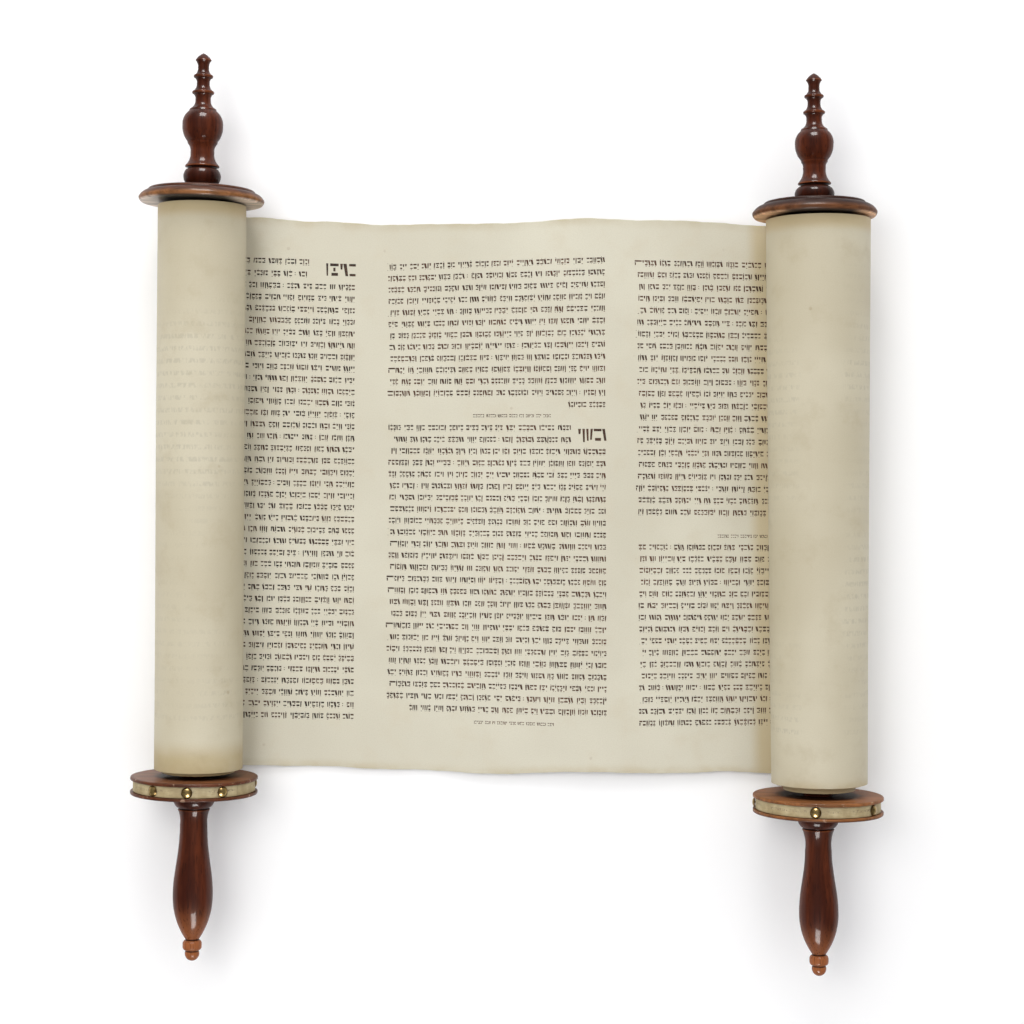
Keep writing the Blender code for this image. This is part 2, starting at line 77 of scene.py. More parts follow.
lower_ring_drop = 0.0081
lower_neck_radius = 0.0068
lower_neck_drop = 0.0064
ball_collar_radius = 0.0115
ball_collar_drop = 0.0082
ball_collar_height = 0.0018
ball_collar_flare = 0.0006
bead_height = 0.0018
bead_flare = 0.0003
base_collar_height = 0.0012
base_collar_flare = 0.0004
base_groove_depth = 0.0009
base_groove_drop = 0.0025
handle_collar_radius = 0.0186
handle_collar_height = 0.0118
handle_collar_foot_radius = 0.0148
handle_groove_height = 0.0018
handle_shoulder_radius = 0.0141
handle_end_neck_radius = 0.0056
handle_bead_radius = 0.0084
handle_bead_height = 0.0094
handle_bead_flat = 0.0024
handle_knob_radius = 0.0058
handle_knob_height = 0.0092
handle_taper_power = 2.25
quirk_width = 0.0014
quirk_height = 0.0024
quirk_bevel = 0.0012
widest_share = 0.68
underside_inset = 0.0022
flange_edge_round = 0.0006
band_recess = 0.0024
band_thickness = 0.0006
nail_head_edge = 0.0003
nail_dome_height = 0.0022
nail_shank_radius = 0.0009
nail_shank_length = 0.0080
nail_point_length = 0.0020
cone_swell = 0.08
ring_swell = 0.45
ball_upper_swell = 0.13
ball_lower_swell = 0.09
collar_swell = 0.18
knob_swell = 0.27
rim_swell = 0.13
soft_cove = -0.07
cove = -0.12
deep_cove = -0.16

# Fineness
arc_steps = 8
handle_steps = 22
turned_sides = 80
disc_sides = 160
nail_sides = 28
corner_round = 0.00035
corner_steps = 3
longest_corner_share = 0.45
shortest_corner = 0.00002
sharp_turn = math.radians(20.0)
crease_angle = math.radians(50.0)
normal_reach = 0.0005  # how far apart the places are that give a normal of the open sheet
normal_turns = 0.002  # the same on a roll, in turns

# Forms that are finer here than in the part
handle_groove_floor = 0.0131
handle_collar_edge = 0.0169
base_groove_cut = 0.0016
disc_bore_radius = 0.0133

# The open sheet's waves and those of its cut edges: height, pace along, pace up and start
sheet_waves = ((0.00055, 31.0, 9.0, 0.6), (0.00040, 57.0, -21.0, 2.0), (0.00030, 24.0, 47.0, 4.0),
               (0.00016, 118.0, 64.0, 1.0))
upper_edge_waves = ((0.00022, 83.0, 0.0, 1.0), (0.00016, 211.0, 0.0, 0.0), (0.0001, 517.0, 0.0, 0.0))
lower_edge_waves = ((0.00020, 71.0, 0.0, 2.0), (0.00015, 187.0, 0.0, 5.0), (0.0001, 463.0, 0.0, 3.0))
calm_width = 0.05  # how far from a roll the sheet's waves have their full height
ragged_reach = 0.010  # how far in from a cut edge its waves reach

# Winding: the strip's turns round a staff, from the outside in
layer_pitch = 0.0008
innermost_radius = 0.0131
fine_turns = 1.25
fine_turn_steps = 96
inner_turn_steps = 40
telescope_turns = 0.4

# Wear, and where shade is painted
wear_reach = 0.0012
full_wear_turn = 1.2  # the turn of an outline, in radians, that counts as a full edge
# How far above a finial's foot its painted shade starts, and where it is full
finial_shade_from = 0.026
finial_shade_to = 0.008
worn_handle_start = 0.090
worn_handle_length = 0.045
# Beside a roll the sheet is browned partly as stain and partly as painted shade
roll_shade = 0.014  # how far the sheet is browned beside a roll

# Strokes
stroke_height = 0.0045
thick_stroke = 0.00138
thin_stroke = 0.00108
stroke_gap = 0.00052
word_gap = 0.0023
dot_size = 0.00052
dot_drop = 0.00078
unsteady_hand = 0.00006
small_sign_height = 0.0027
least_group = 0.0045
least_filler = 0.0017
pair_room = 0.014
pair_width = 0.0007
pair_half_height = 0.0004
pair_spread = 0.22
seam_margin = 0.0006

# Sheet mesh
grid_step = 0.005
under_grid_step = 0.008
seam_grid_step = 0.008
seam_step = 0.033
under_text = 0.019  # how far the rows run on under a roll
margin_reach = 0.0062  # from the middle of the first or last row to the empty margin

# Room light: its strength, how much more of it comes from the finials' side, and its gloss
room_light = 0.83
room_slope = 0.5
room_gloss = 0.06

# Camera, in metres, millimetres and pixels
camera_place = (0.00461, 0.0212, 1.855)
camera_lens = 71.9
sensor_width = 36.0
picture_size = 1024.0
camera_shift_rows = -22.0

# Photograph's frame: metres a pixel on the sheet and down the rows, and the row of the camera's axis
sheet_pixel = 0.0009044
text_axis_row = 489.2
text_pixel = 0.0009014


# Each roller's sizes, as in the part's source. Angles are in degrees.
left = SimpleNamespace(
    name="left", side=-1.0, lean=0.734,
    upper_disc_radius=0.0548, upper_disc_thickness=0.0119, upper_disc_rim_width=0.0090,
    upper_disc_tilt=0.66, upper_clearance=0.0015,
    lower_disc_radius=0.0555, lower_disc_thickness=0.0154, lower_disc_tilt=0.23,
    lower_clearance=0.0032, flange_height=0.0026,
    ball_radius=0.0178, ball_drop=0.0131, ball_bead_radius=0.0129, ball_bead_drop=0.0137,
    base_neck_radius=0.0105, base_neck_drop=0.0078, base_collar_radius=0.0151, base_collar_drop=0.0115,
    base_bun_radius=0.0164, base_bun_height=0.0122, base_foot_height=0.0052,
    handle_neck_radius=0.0120, handle_neck_drop=0.0132, handle_belly_radius=0.0175,
    handle_belly_drop=0.0615, handle_belly_power=1.15, handle_taper_drop=0.0402,
    roll_upper_radius=0.0389, roll_lower_radius=0.0392, roll_lean=0.36, roll_offset=0.0021,
    core_inset=0.0067, core_step=0.0030, shell_step=0.0006,
    nail_angles=(-32.6, 2.0, 35.7, 108.0, 156.0, 204.0, 250.0),
)
right = SimpleNamespace(
    name="right", side=1.0, lean=-0.294,
    upper_disc_radius=0.0546, upper_disc_thickness=0.0135, upper_disc_rim_width=0.0109,
    upper_disc_tilt=0.20, upper_clearance=0.0022,
    lower_disc_radius=0.0570, lower_disc_thickness=0.0159, lower_disc_tilt=0.99,
    lower_clearance=0.0043, flange_height=0.0028,
    ball_radius=0.0169, ball_drop=0.0121, ball_bead_radius=0.0115, ball_bead_drop=0.0135,
    base_neck_radius=0.0101, base_neck_drop=0.0048, base_collar_radius=0.0147, base_collar_drop=0.0133,
    base_bun_radius=0.0174, base_bun_height=0.0126, base_foot_height=0.0006,
    handle_neck_radius=0.0117, handle_neck_drop=0.0190, handle_belly_radius=0.0172,
    handle_belly_drop=0.0541, handle_belly_power=1.0, handle_taper_drop=0.0373,
    roll_upper_radius=0.0460, roll_lower_radius=0.0423, roll_lean=-0.07, roll_offset=0.0018,
    core_inset=0.0103, core_step=0.0060, shell_step=0.0015,
    nail_angles=(-97.0, -10.5, 51.0, 118.0, 205.0),
)
rollers = (left, right)


# Sizes that follow from the driving ones

def askew(radius, angle):
    """How far the edge of a round face stands out when the face is askew by an angle in degrees."""
    return radius * math.tan(math.radians(abs(angle)))


def end_reach(roller, disc_tilt, radius):
    """How far a disc and a roll's end, both askew, reach towards each other."""
    return askew(radius, disc_tilt - roller.roll_lean + roller.lean)


def upper_gap(roller):
    """Between the roll and the upper disc, on the roll's axis."""
    return roller.upper_clearance + end_reach(roller, roller.upper_disc_tilt, roller.roll_upper_radius)


def lower_gap(roller):
    """Between the roll and the lower disc, on the roll's axis."""
    clearance = roller.core_step + roller.lower_clearance
    return clearance + end_reach(roller, roller.lower_disc_tilt, roller.roll_lower_radius)


def disc_distance(roller):
    """Between the inner faces of the two discs."""
    return parchment_height + upper_gap(roller) + lower_gap(roller)


def shaft_length(roller):
    """From the top of the upper disc to the handle's shoulder."""
    discs = roller.upper_disc_thickness + disc_distance(roller) + roller.lower_disc_thickness
    return discs + fit_gap + askew(handle_collar_radius, roller.lower_disc_tilt)


def groove_radius(roller):
    """The floor of the lower disc's rim groove."""
    return roller.lower_disc_radius - band_recess - band_thickness - fit_gap


def groove_height(roller):
    """The groove between the lower disc's two flanges."""
    return roller.lower_disc_thickness - 2.0 * roller.flange_height


def band_radius(roller):
    """The outside of the parchment band."""
    return groove_radius(roller) + fit_gap + band_thickness


def dome_swell(radius, height):
    """The fullness of an arc that leaves the axis level, as on a round cap."""
    return math.tan(math.atan2(height, radius) / 2.0) / 2.0


def raised(height):
    """A shift along Z."""
    return Matrix.Translation((0.0, 0.0, height))


def turned_about(axis, degrees):
    """A turn about an axis."""
    return Matrix.Rotation(math.radians(degrees), 4, axis)


def roller_matrix(roller):
    """The roller's frame: its origin half way between the discs, +Z to the finial and +Y down."""
    high = roller.lower_disc_radius - rest_flat_depth
    low = roller.upper_disc_radius - rest_flat_depth
    pitch = math.atan2(low - high, disc_distance(roller))
    drop = 0.0 if roller is left else right_roller_drop
    place = Matrix.Translation((roller.side * roller_spacing / 2.0, -drop, (high + low) / 2.0))
    turn = Matrix.Rotation(pitch - math.pi / 2.0, 4, "X")
    return Matrix.Translation(root_shift) @ place @ turned_about("Z", -roller.lean) @ turn


def roll_matrix(roller):
    """The wound parchment's frame inside the roller's: its origin in the middle of the roll."""
    shift = (lower_gap(roller) - upper_gap(roller)) / 2.0
    place = Matrix.Translation((roller.roll_offset, 0.0, shift))
    return place @ turned_about("Y", roller.roll_lean - roller.lean)


# Outlines of the turned pieces

class Outline:
    """A turned piece's outline, drawn from its upper end down. Its points are (radius, height)."""

    def __init__(self, radius=0.0):
        self.points = [(radius, 0.0)]

    def to(self, radius, drop=0.0, fullness=0.0):
        """Goes to a radius, a drop lower, in a line or an arc that swells outwards or is a cove."""
        r0, z0 = self.points[-1]
        dr, dz = radius - r0, -drop
        if not fullness:
            self.points.append((r0 + dr, z0 + dz))
            return self
        half = 2.0 * math.atan(2.0 * abs(fullness))
        arc_radius = 0.5 / math.sin(half)
        for i in range(1, arc_steps + 1):
            angle = half * (2.0 * i / arc_steps - 1.0)
            along = 0.5 + arc_radius * math.sin(angle)
            off = math.copysign(arc_radius * (math.cos(angle) - math.cos(half)), fullness)
            self.points.append((r0 + dr * along - dz * off, z0 + dz * along + dr * off))
        return self

    def ring(self, radius, drop):
        """A cove that runs out to a thin ring with a round edge, whose middle is a drop lower."""
        shoulder = radius - ring_thickness / 2.0
        self.to(shoulder, drop - ring_thickness / 2.0, cove)
        return self.to(shoulder, ring_thickness, ring_swell)

    def end(self):
        """Closes the outline on the axis."""
        return self.to(0.0).points


def eased(start, end, share):
    """A value that leaves start and reaches end without a slope."""
    return start + (end - start) * (1.0 - np.cos(np.pi * share)) / 2.0


def through(knots, at):
    """The heights at places of a soft curve through knots."""
    at = np.asarray(at, float)
    found = np.where(at <= knots[0][0], knots[0][1], knots[-1][1])
    for (x0, y0), (x1, y1) in zip(knots, knots[1:]):
        inside = (at > x0) & (at <= x1)
        found = np.where(inside, eased(y0, y1, (at - x0) / (x1 - x0)), found)
    return found


def finial_outline(roller):
    """Tip, two rings, a ball with a collar and a bead, and a collar over a bun with a flat base."""
    line = Outline()
    line.to(tip_radius, tip_height, cone_swell)
    line.to(upper_neck_radius, upper_neck_drop, cove)
    line.ring(upper_ring_radius, upper_ring_drop)
    line.to(middle_neck_radius, middle_neck_drop - ring_thickness / 2.0, cove)
    line.ring(lower_ring_radius, lower_ring_drop)
    line.to(lower_neck_radius, lower_neck_drop - ring_thickness / 2.0, cove)
    line.to(ball_collar_radius, ball_collar_drop, deep_cove)
    line.to(ball_collar_radius + ball_collar_flare, ball_collar_height)
    line.to(roller.ball_radius, roller.ball_drop, ball_upper_swell)
    line.to(roller.ball_bead_radius + bead_flare, roller.ball_bead_drop, ball_lower_swell)
    line.to(roller.ball_bead_radius, bead_height)
    line.to(roller.base_neck_radius, roller.base_neck_drop, cove)
    line.to(roller.base_collar_radius - base_collar_flare, roller.base_collar_drop, cove)
    line.to(roller.base_collar_radius, base_collar_height)
    groove = roller.base_collar_radius - base_groove_depth
    line.to(groove - base_groove_cut, base_groove_drop * 0.25)
    line.to(groove - base_groove_cut, base_groove_drop * 0.45)
    line.to(groove, base_groove_drop * 0.3)
    line.to(groove, roller.base_bun_height, (roller.base_bun_radius - groove) / roller.base_bun_height)
    line.to(groove, roller.base_foot_height)
    return line.end()


def staff_outline(roller):
    """The plain shaft from the top of the upper disc, and the handle below the lower disc."""
    line = Outline()
    line.to(shaft_radius)
    line.to(shaft_radius, shaft_length(roller))
    line.to(handle_collar_edge)
    line.to(handle_collar_foot_radius, handle_collar_height, collar_swell)
    line.to(handle_groove_floor, handle_groove_height * 0.2)
    line.to(handle_groove_floor, handle_groove_height * 0.4)
    line.to(handle_shoulder_radius, handle_groove_height * 0.4)
    line.to(roller.handle_neck_radius, roller.handle_neck_drop, soft_cove)
    for i in range(1, handle_steps + 1):
        share = (i / handle_steps) ** roller.handle_belly_power
        line.to(float(eased(roller.handle_neck_radius, roller.handle_belly_radius, share)),
                roller.handle_belly_drop / handle_steps)
    for i in range(1, handle_steps + 1):
        share = (i / handle_steps) ** handle_taper_power
        line.to(roller.handle_belly_radius + (handle_end_neck_radius - roller.handle_belly_radius) * share,
                roller.handle_taper_drop / handle_steps)
    slope = (handle_bead_height - handle_bead_flat) / 2.0
    line.to(handle_bead_radius, slope, collar_swell)
    line.to(handle_bead_radius, handle_bead_flat)
    line.to(handle_knob_radius, slope, collar_swell)
    return line.to(0.0, handle_knob_height, knob_swell).points


def upper_disc_outline(roller):
    """A flat land on top, a quirk, a swelling rim with a soft lower edge, and a flat underside."""
    land = roller.upper_disc_radius - roller.upper_disc_rim_width
    widest_at = widest_share * roller.upper_disc_thickness
    line = Outline(disc_bore_radius)
    line.to(land)
    line.to(land + quirk_bevel, quirk_bevel)
    line.to(land + quirk_width, quirk_height - quirk_bevel)
    line.to(roller.upper_disc_radius, widest_at - quirk_height, rim_swell)
    below = roller.upper_disc_thickness - widest_at
    line.to(roller.upper_disc_radius - underside_inset, below, rim_swell)
    return line.to(disc_bore_radius).points


def lower_disc_outline(roller):
    """A plain disc with a square groove round its rim for the parchment band."""
    radius = roller.lower_disc_radius
    flange = roller.flange_height - flange_edge_round
    line = Outline(disc_bore_radius)
    line.to(radius - flange_edge_round)
    line.to(radius, flange_edge_round)
    line.to(radius, flange)
    line.to(groove_radius(roller))
    line.to(groove_radius(roller), groove_height(roller))
    line.to(radius)
    line.to(radius, flange)
    line.to(radius - flange_edge_round, flange_edge_round)
    return line.to(disc_bore_radius).points


def nail_outline(roller):
    """A domed head with a flat underside, and a pointed shank."""
    head = groove_height(roller) / 2.0 - fit_gap
    line = Outline()
    line.to(head, nail_dome_height, dome_swell(head, nail_dome_height))
    line.to(head, nail_head_edge)
    line.to(nail_shank_radius)
    line.to(nail_shank_radius, nail_shank_length - nail_point_length)
    return line.to(0.0, nail_point_length).points


def softened(points, closed):
    """The outline with a small arc in place of each sharp corner."""
    found = []
    count = len(points)
    for i, here in enumerate(points):
        before, after = points[i - 1], points[(i + 1) % count]
        if not closed and i in (0, count - 1):
            found.append(here)
            continue
        here, before, after = Vector(here), Vector(before), Vector(after)
        back, forward = before - here, after - here
        cut = min(corner_round, back.length * longest_corner_share, forward.length * longest_corner_share)
        if cut < shortest_corner or (-back).angle(forward) < sharp_turn:
            found.append(tuple(here))
            continue
        start = here + back.normalized() * cut
        end = here + forward.normalized() * cut
        for j in range(corner_steps + 1):
            share = j / corner_steps
            blend = start.lerp(here, share).lerp(here.lerp(end, share), share)
            found.append(tuple(blend))
    return found


def guarded(points, closed):
    """The outline with two more points on each long side, so that wear keeps to the corners."""
    found = []
    for i, here in enumerate(points):
        found.append(here)
        if not closed and i == len(points) - 1:
            break
        there = points[(i + 1) % len(points)]
        length = math.dist(here, there)
        if length > 3.0 * wear_reach:
            for share in (wear_reach / length, 1.0 - wear_reach / length):
                found.append((here[0] + (there[0] - here[0]) * share, here[1] + (there[1] - here[1]) * share))
    return found


def edge_signs(points, closed, reach=wear_reach):
    """For each point of an outline, how convex (to 1) or hollow (to -1) it is within a reach."""
    flat = np.array(points)
    count = len(flat)
    signs = np.zeros(count)

    def walk(start, step):
        place, left_over = flat[start], reach
        i = start
        while left_over > 0.0:
            following = i + step
            if not closed and not 0 <= following < count:
                break
            target = flat[following % count]
            length = float(np.linalg.norm(target - place))
            if length >= left_over:
                return place + (target - place) * left_over / max(length, 1e-9)
            left_over -= length
            place = target
            i = following
        return place

    for i in range(count):
        before = flat[i] - walk(i, -1)
        after = walk(i, 1) - flat[i]
        if np.linalg.norm(before) < 1e-6 or np.linalg.norm(after) < 1e-6:
            continue
        cross = before[0] * after[1] - before[1] * after[0]
        signs[i] = -math.atan2(cross, float(before @ after)) / full_wear_turn
    return np.clip(signs, -1.0, 1.0)


# Meshes

def new_object(name, mesh, matrix=None):
    """An object in the scene, in its place."""
    thing = bpy.data.objects.new(name, mesh)
    scene.collection.objects.link(thing)
    if matrix is not None:
        thing.matrix_world = matrix
    return thing


def dress(thing, node, slot, *materials):
    """Gives a piece its materials, hangs it on the root and hides the CAD node that it stands for."""
    for material in materials:
        thing.data.materials.append(material)
    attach(thing, "root")
    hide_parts(node)


def add_values(mesh, name, values):
    """Stores a value or a vector on each vertex."""
    values = np.asarray(values, np.float32)
    kind, field = ("FLOAT_VECTOR", "vector") if values.ndim == 2 else ("FLOAT", "value")
    made = mesh.attributes.new(name, kind, "POINT")
    made.data.foreach_set(field, values.ravel())


def turned(name, outline, sides, matrix, ring=False, rest=True):
    """A solid of revolution about the matrix's Z axis, with a flat where it rests on the ground."""
    points = guarded(softened(outline, ring), ring)
    signs = edge_signs(points, ring)
    vertices, edge, rows = [], [], []
    for (radius, height), sign in zip(points, signs):
        around = 1 if radius < 1e-6 else sides
        rows.append(range(len(vertices), len(vertices) + around))
        for i in range(around):
            angle = 2.0 * math.pi * i / sides
            vertices.append((radius * math.cos(angle), radius * math.sin(angle), height))
            edge.append(sign)
    faces = []
    pairs = list(zip(rows, rows[1:]))
    if ring:
        pairs.append((rows[-1], rows[0]))
    for upper, lower in pairs:
        for i in range(sides):
            j = (i + 1) % sides
            if len(upper) == 1 and len(lower) == 1:
                break
            if len(upper) == 1:
                faces.append((upper[0], lower[i], lower[j]))
            elif len(lower) == 1:
                faces.append((upper[i], lower[0], upper[j]))
            else:
                faces.append((upper[i], lower[i], lower[j], upper[j]))
    if rest:
        turn = np.array(matrix.to_3x3())
        shift = np.array(matrix.translation)
        placed = np.array(vertices) @ turn.T + shift
        placed[:, 2] = np.maximum(placed[:, 2], 0.0)
        vertices = ((placed - shift) @ turn).tolist()
    mesh = bpy.data.meshes.new(name)
    mesh.from_pydata(vertices, [], faces)
    add_values(mesh, "edge", edge)
    mesh.shade_smooth()
    mesh.set_sharp_from_angle(angle=crease_angle)
    return new_object(name, mesh, matrix)


# Materials

class Nodes:
    """A node tree, with short calls that add to it."""

    def __init__(self, tree):
        self.tree = tree

    def put(self, socket, value):
        """Links an output into a socket, or sets its value."""
        if isinstance(value, bpy.types.NodeSocket):
            self.tree.links.new(value, socket)
        elif isinstance(value, tuple) and socket.type == "RGBA":
            socket.default_value = (*value, 1.0)
        else:
            socket.default_value = value

    def node(self, kind, inputs, output=0, **settings):
        """A node with its settings and inputs. Returns one of its outputs."""
        made = self.tree.nodes.new(kind)
        for label, value in settings.items():
            setattr(made, label, value)
        for label, value in inputs.items():
            self.put(made.inputs[label], value)
        return made.outputs[output]

    def part(self, vector, axis):
        """One coordinate of a vector."""
        return self.node("ShaderNodeSeparateXYZ", {"Vector": vector}, axis)


class Look(Nodes):
    """A material, with short calls for the nodes that the looks use most."""

    def __init__(self, name, **settings):
        self.material = bpy.data.materials.new(name)
        self.material.use_nodes = True
        super().__init__(self.material.node_tree)
        self.shader = self.tree.nodes["Principled BSDF"]
        for label, value in settings.items():
            self.put(self.shader.inputs[label.replace("_", " ")], value)

    def paint(self, colour):
        """Sets the shader's colour. Returns the material."""
        self.put(self.shader.inputs["Base Color"], colour)
        return self.material

    def own_place(self):
        """The piece's own coordinates."""
        return self.node("ShaderNodeTexCoord", {}, "Object")

    def stored(self, name, output="Fac"):
        """A value or a vector that the mesh holds."""
        return self.node("ShaderNodeAttribute", {}, output, attribute_name=name)

    def stretched(self, vector, scale=(1.0, 1.0, 1.0), place=(0.0, 0.0, 0.0)):
        """Coordinates times a scale."""
        return self.node("ShaderNodeMapping", {"Vector": vector, "Location": place, "Scale": scale})

    def length(self, vector):
        """A vector's length."""
        return self.node("ShaderNodeVectorMath", {0: vector}, "Value", operation="LENGTH")

    def maths(self, operation, first, second=0.0, clamp=False):
        """A sum or another operation on numbers."""
        return self.node("ShaderNodeMath", {0: first, 1: second}, operation=operation, use_clamp=clamp)

    def times(self, first, second):
        """The product of two numbers."""
        return self.maths("MULTIPLY", first, second)

    def tinted(self, share, colour, tint):
        """A colour multiplied by a tint, by a share."""
        return self.mix(share, colour, tint, "MULTIPLY")

    def soft(self, value, low, high, start=0.0, end=1.0):
        """A soft step from start to end as a value goes from low to high."""
        limits = {"Value": value, "From Min": low, "From Max": high, "To Min": start, "To Max": end}
        return self.node("ShaderNodeMapRange", limits, interpolation_type="SMOOTHSTEP")

    def noise(self, vector, scale=1.0, detail=3.0, roughness=0.5):
        """A noise value, mostly from 0.3 to 0.7."""
        inputs = {"Vector": vector, "Scale": scale, "Detail": detail, "Roughness": roughness}
        return self.node("ShaderNodeTexNoise", inputs)

    def mix(self, share, first, second, blend="MIX"):
        """A blend of two colours."""
        inputs = {0: share, 6: first, 7: second}
        return self.node("ShaderNodeMix", inputs, 2, data_type="RGBA", blend_type=blend)

    def bump(self, height, distance, strength=1.0):
        """Sets the shader's normal from a height between 0 and 1."""
        inputs = {"Height": height, "Distance": distance, "Strength": strength}
        self.put(self.shader.inputs["Normal"], self.node("ShaderNodeBump", inputs))


def mahogany(name, shade, worn=None, painted_shade=None):
    """Dark red polished wood with grain along the staff, paler on worn edges, with shade painted in its
    hollows.

    The wood turns paler between the two heights of worn, and darker with painted shade between the two
    heights given for that shade.
    """
    look = Look(name, Roughness=0.5, Specular_IOR_Level=0.06, Coat_Weight=0.32, Coat_Roughness=0.11,
                Coat_IOR=1.4)
    place = look.own_place()
    drift = look.noise(look.stretched(place, (45.0, 45.0, 9.0)), 1.0, 3.0)
    pith = look.stretched(place, (1.0, 1.0, 0.02), (0.021, 0.013, 0.0))
    distance = look.length(pith)
    ring = look.maths("ADD", look.times(distance, 1250.0), look.times(drift, 34.0))
    ring = look.soft(look.maths("SINE", ring), -1.0, 1.0)
    broad = look.noise(look.stretched(place, (70.0, 70.0, 14.0), (3.0, 1.0, 2.0)), 1.0, 4.0)
    pores = look.noise(look.stretched(place, (900.0, 900.0, 48.0)), 1.0, 2.0, 0.6)
    pores = look.soft(pores, 0.54, 0.70)
    colour = look.mix(look.soft(broad, 0.3, 0.7), (0.048, 0.0086, 0.0030), (0.118, 0.0255, 0.0085))
    colour = look.mix(look.times(ring, 0.3), colour, (0.034, 0.0066, 0.0028))
    if worn:
        low = look.soft(look.part(place, "Z"), *worn, 0.0, 0.95)
        colour = look.mix(look.times(low, look.soft(broad, 0.2, 0.5)), colour, (0.315, 0.102, 0.034))
    # Painted shade: darker between two heights, as at a finial's foot where it sits on the disc
    if painted_shade:
        low = look.soft(look.part(place, "Z"), *painted_shade)
        colour = look.tinted(low, colour, (0.42, 0.36, 0.36))
    colour = look.mix(look.times(pores, 0.62), colour, (0.014, 0.0040, 0.0026))
    edge = look.stored("edge")
    bare = look.times(look.soft(edge, 0.25, 1.0), look.soft(broad, 0.35, 0.65, 0.2, 0.8))
    colour = look.mix(bare, colour, (0.240, 0.066, 0.019))
    # Painted shade in the hollows of the outline
    hollow = look.soft(edge, -0.12, -0.7, 0.0, 0.85)
    colour = look.mix(hollow, colour, (0.010, 0.0032, 0.0024))
    colour = look.tinted(1.0, colour, (shade, shade, shade))
    look.paint(colour)
    look.bump(look.times(pores, -1.0), 0.00006, 0.4)
    return look.material


@dataclass
class DiscLook:
    """A disc's colours, where its rim starts, and the heights between which the rim's colour comes in."""

    top: tuple
    face: tuple
    rim: tuple
    under: tuple
    land: float
    rim_from: float
    rim_to: float
    bottom: float
    # Radius inside which the face toward the roll is painted dark, as the roll's shadow
    painted_shade: float = 0.0
    # How dark the middle of the underside is painted, as shade, against its own colour
    under_shade: float = 0.035
    coat: float = 0.22


def disc_wood(name, tones):
    """Reddish wood with grain across the disc, and a worn rim with pale chips. Shade is painted in its
    hollows, in the middle of its underside and where the roll's end stands over it.
    """
    look = Look(name, Roughness=0.5, Specular_IOR_Level=0.10, Coat_Weight=tones.coat, Coat_Roughness=0.14,
                Coat_IOR=1.38)
    place = look.own_place()
    grain = look.noise(look.stretched(place, (16.0, 260.0, 260.0)), 1.0, 4.0, 0.55)
    broad = look.noise(look.stretched(place, (14.0, 45.0, 45.0), (1.0, 5.0, 0.0)), 1.0, 3.0)
    pores = look.soft(look.noise(look.stretched(place, (60.0, 1100.0, 1100.0)), 1.0, 2.0), 0.58, 0.72)
    flat = look.stretched(place, (1.0, 1.0, 0.0))
    out = look.length(flat)
    height = look.part(place, "Z")
    rim = look.times(look.soft(out, tones.land - 0.001, tones.land + 0.0035),
                     look.soft(height, tones.rim_from, tones.rim_to))
    share = look.soft(look.maths("ADD", look.times(grain, 0.6), look.times(broad, 0.4)), 0.36, 0.64)

    def toned(colour):
        return look.mix(share, tuple(0.62 * c for c in colour), tuple(1.35 * c for c in colour))

    land = look.soft(out, tones.land + 0.0004, tones.land - 0.001)
    colour = look.mix(land, toned(tones.face), toned(tones.top))
    colour = look.mix(rim, colour, toned(tones.rim))
    # The underside is painted dark in its middle as shade, and keeps its own colour towards the ends
    facing_down = look.soft(height, tones.bottom + 0.0022, tones.bottom - 0.0001)
    sideways = look.maths("ABSOLUTE", look.part(place, "X"))
    unshaded_ends = look.soft(sideways, 0.024, 0.046)
    under = look.mix(unshaded_ends, tuple(tones.under_shade * c for c in tones.under), toned(tones.under))
    colour = look.mix(facing_down, colour, under)
    # Painted shadow of the roll: the face toward it is dark inside a radius
    roll_shadow = look.times(look.soft(out, tones.painted_shade + 0.010, tones.painted_shade), look.soft(height, -0.002, 0.0))
    colour = look.mix(look.times(roll_shadow, 0.9), colour, (0.008, 0.004, 0.003))
    colour = look.mix(look.times(pores, 0.45), colour, (0.03, 0.008, 0.005))
    edge = look.stored("edge")
    patches = look.noise(place, 190.0, 3.0)
    chips = look.times(look.soft(edge, 0.35, 0.8), look.soft(patches, 0.62, 0.70))
    colour = look.mix(look.times(chips, 0.7), colour, (0.42, 0.27, 0.18))
    # Painted shade in the hollows of the outline
    colour = look.mix(look.soft(edge, -0.2, -0.9, 0.0, 0.85), colour, (0.022, 0.007, 0.005))
    look.paint(colour)
    look.bump(look.times(grain, -1.0), 0.00008, 0.4)
    return look.material


def aged_brass():
    """Brass that is bright on top of the dome and brown towards its edge."""
    look = Look("aged_brass", Metallic=0.8)
    place = look.own_place()
    patches = look.noise(place, 420.0, 3.0, 0.5)
    flat = look.stretched(place, (1.0, 1.0, 0.0))
    out = look.length(flat)
    rim = look.soft(out, 0.0026, 0.0049)
    tarnish = look.maths("ADD", look.soft(patches, 0.42, 0.70, 0.0, 0.7), rim, True)
    colour = look.mix(tarnish, (0.40, 0.280, 0.105), (0.125, 0.075, 0.024))
    look.paint(colour)
    look.put(look.shader.inputs["Roughness"], look.soft(patches, 0.3, 0.7, 0.28, 0.34))
    look.bump(patches, 0.00002, 0.2)
    return look.material


def rows_behind(look, strip, pitch, strength):
    """Rows of faint marks, as ink shows through from the other side."""
    along, up = look.part(strip, "X"), look.part(strip, "Y")
    wave = look.maths("SINE", look.times(up, 2.0 * math.pi / pitch))
    row = look.soft(wave, 0.0, 0.7)
    marks = look.noise(look.stretched(strip, (430.0, 150.0, 1.0)), 1.0, 2.0, 0.6)
    marks = look.soft(marks, 0.44, 0.6)
    column = look.maths("SINE", look.times(along, 2.0 * math.pi / 0.2350))
    column = look.soft(column, -0.93, -0.80)
    inside = look.times(look.soft(up, -0.208, -0.204), look.soft(up, 0.206, 0.202))
    shown = look.times(look.times(row, marks), look.times(column, inside))
    return look.times(shown, strength)


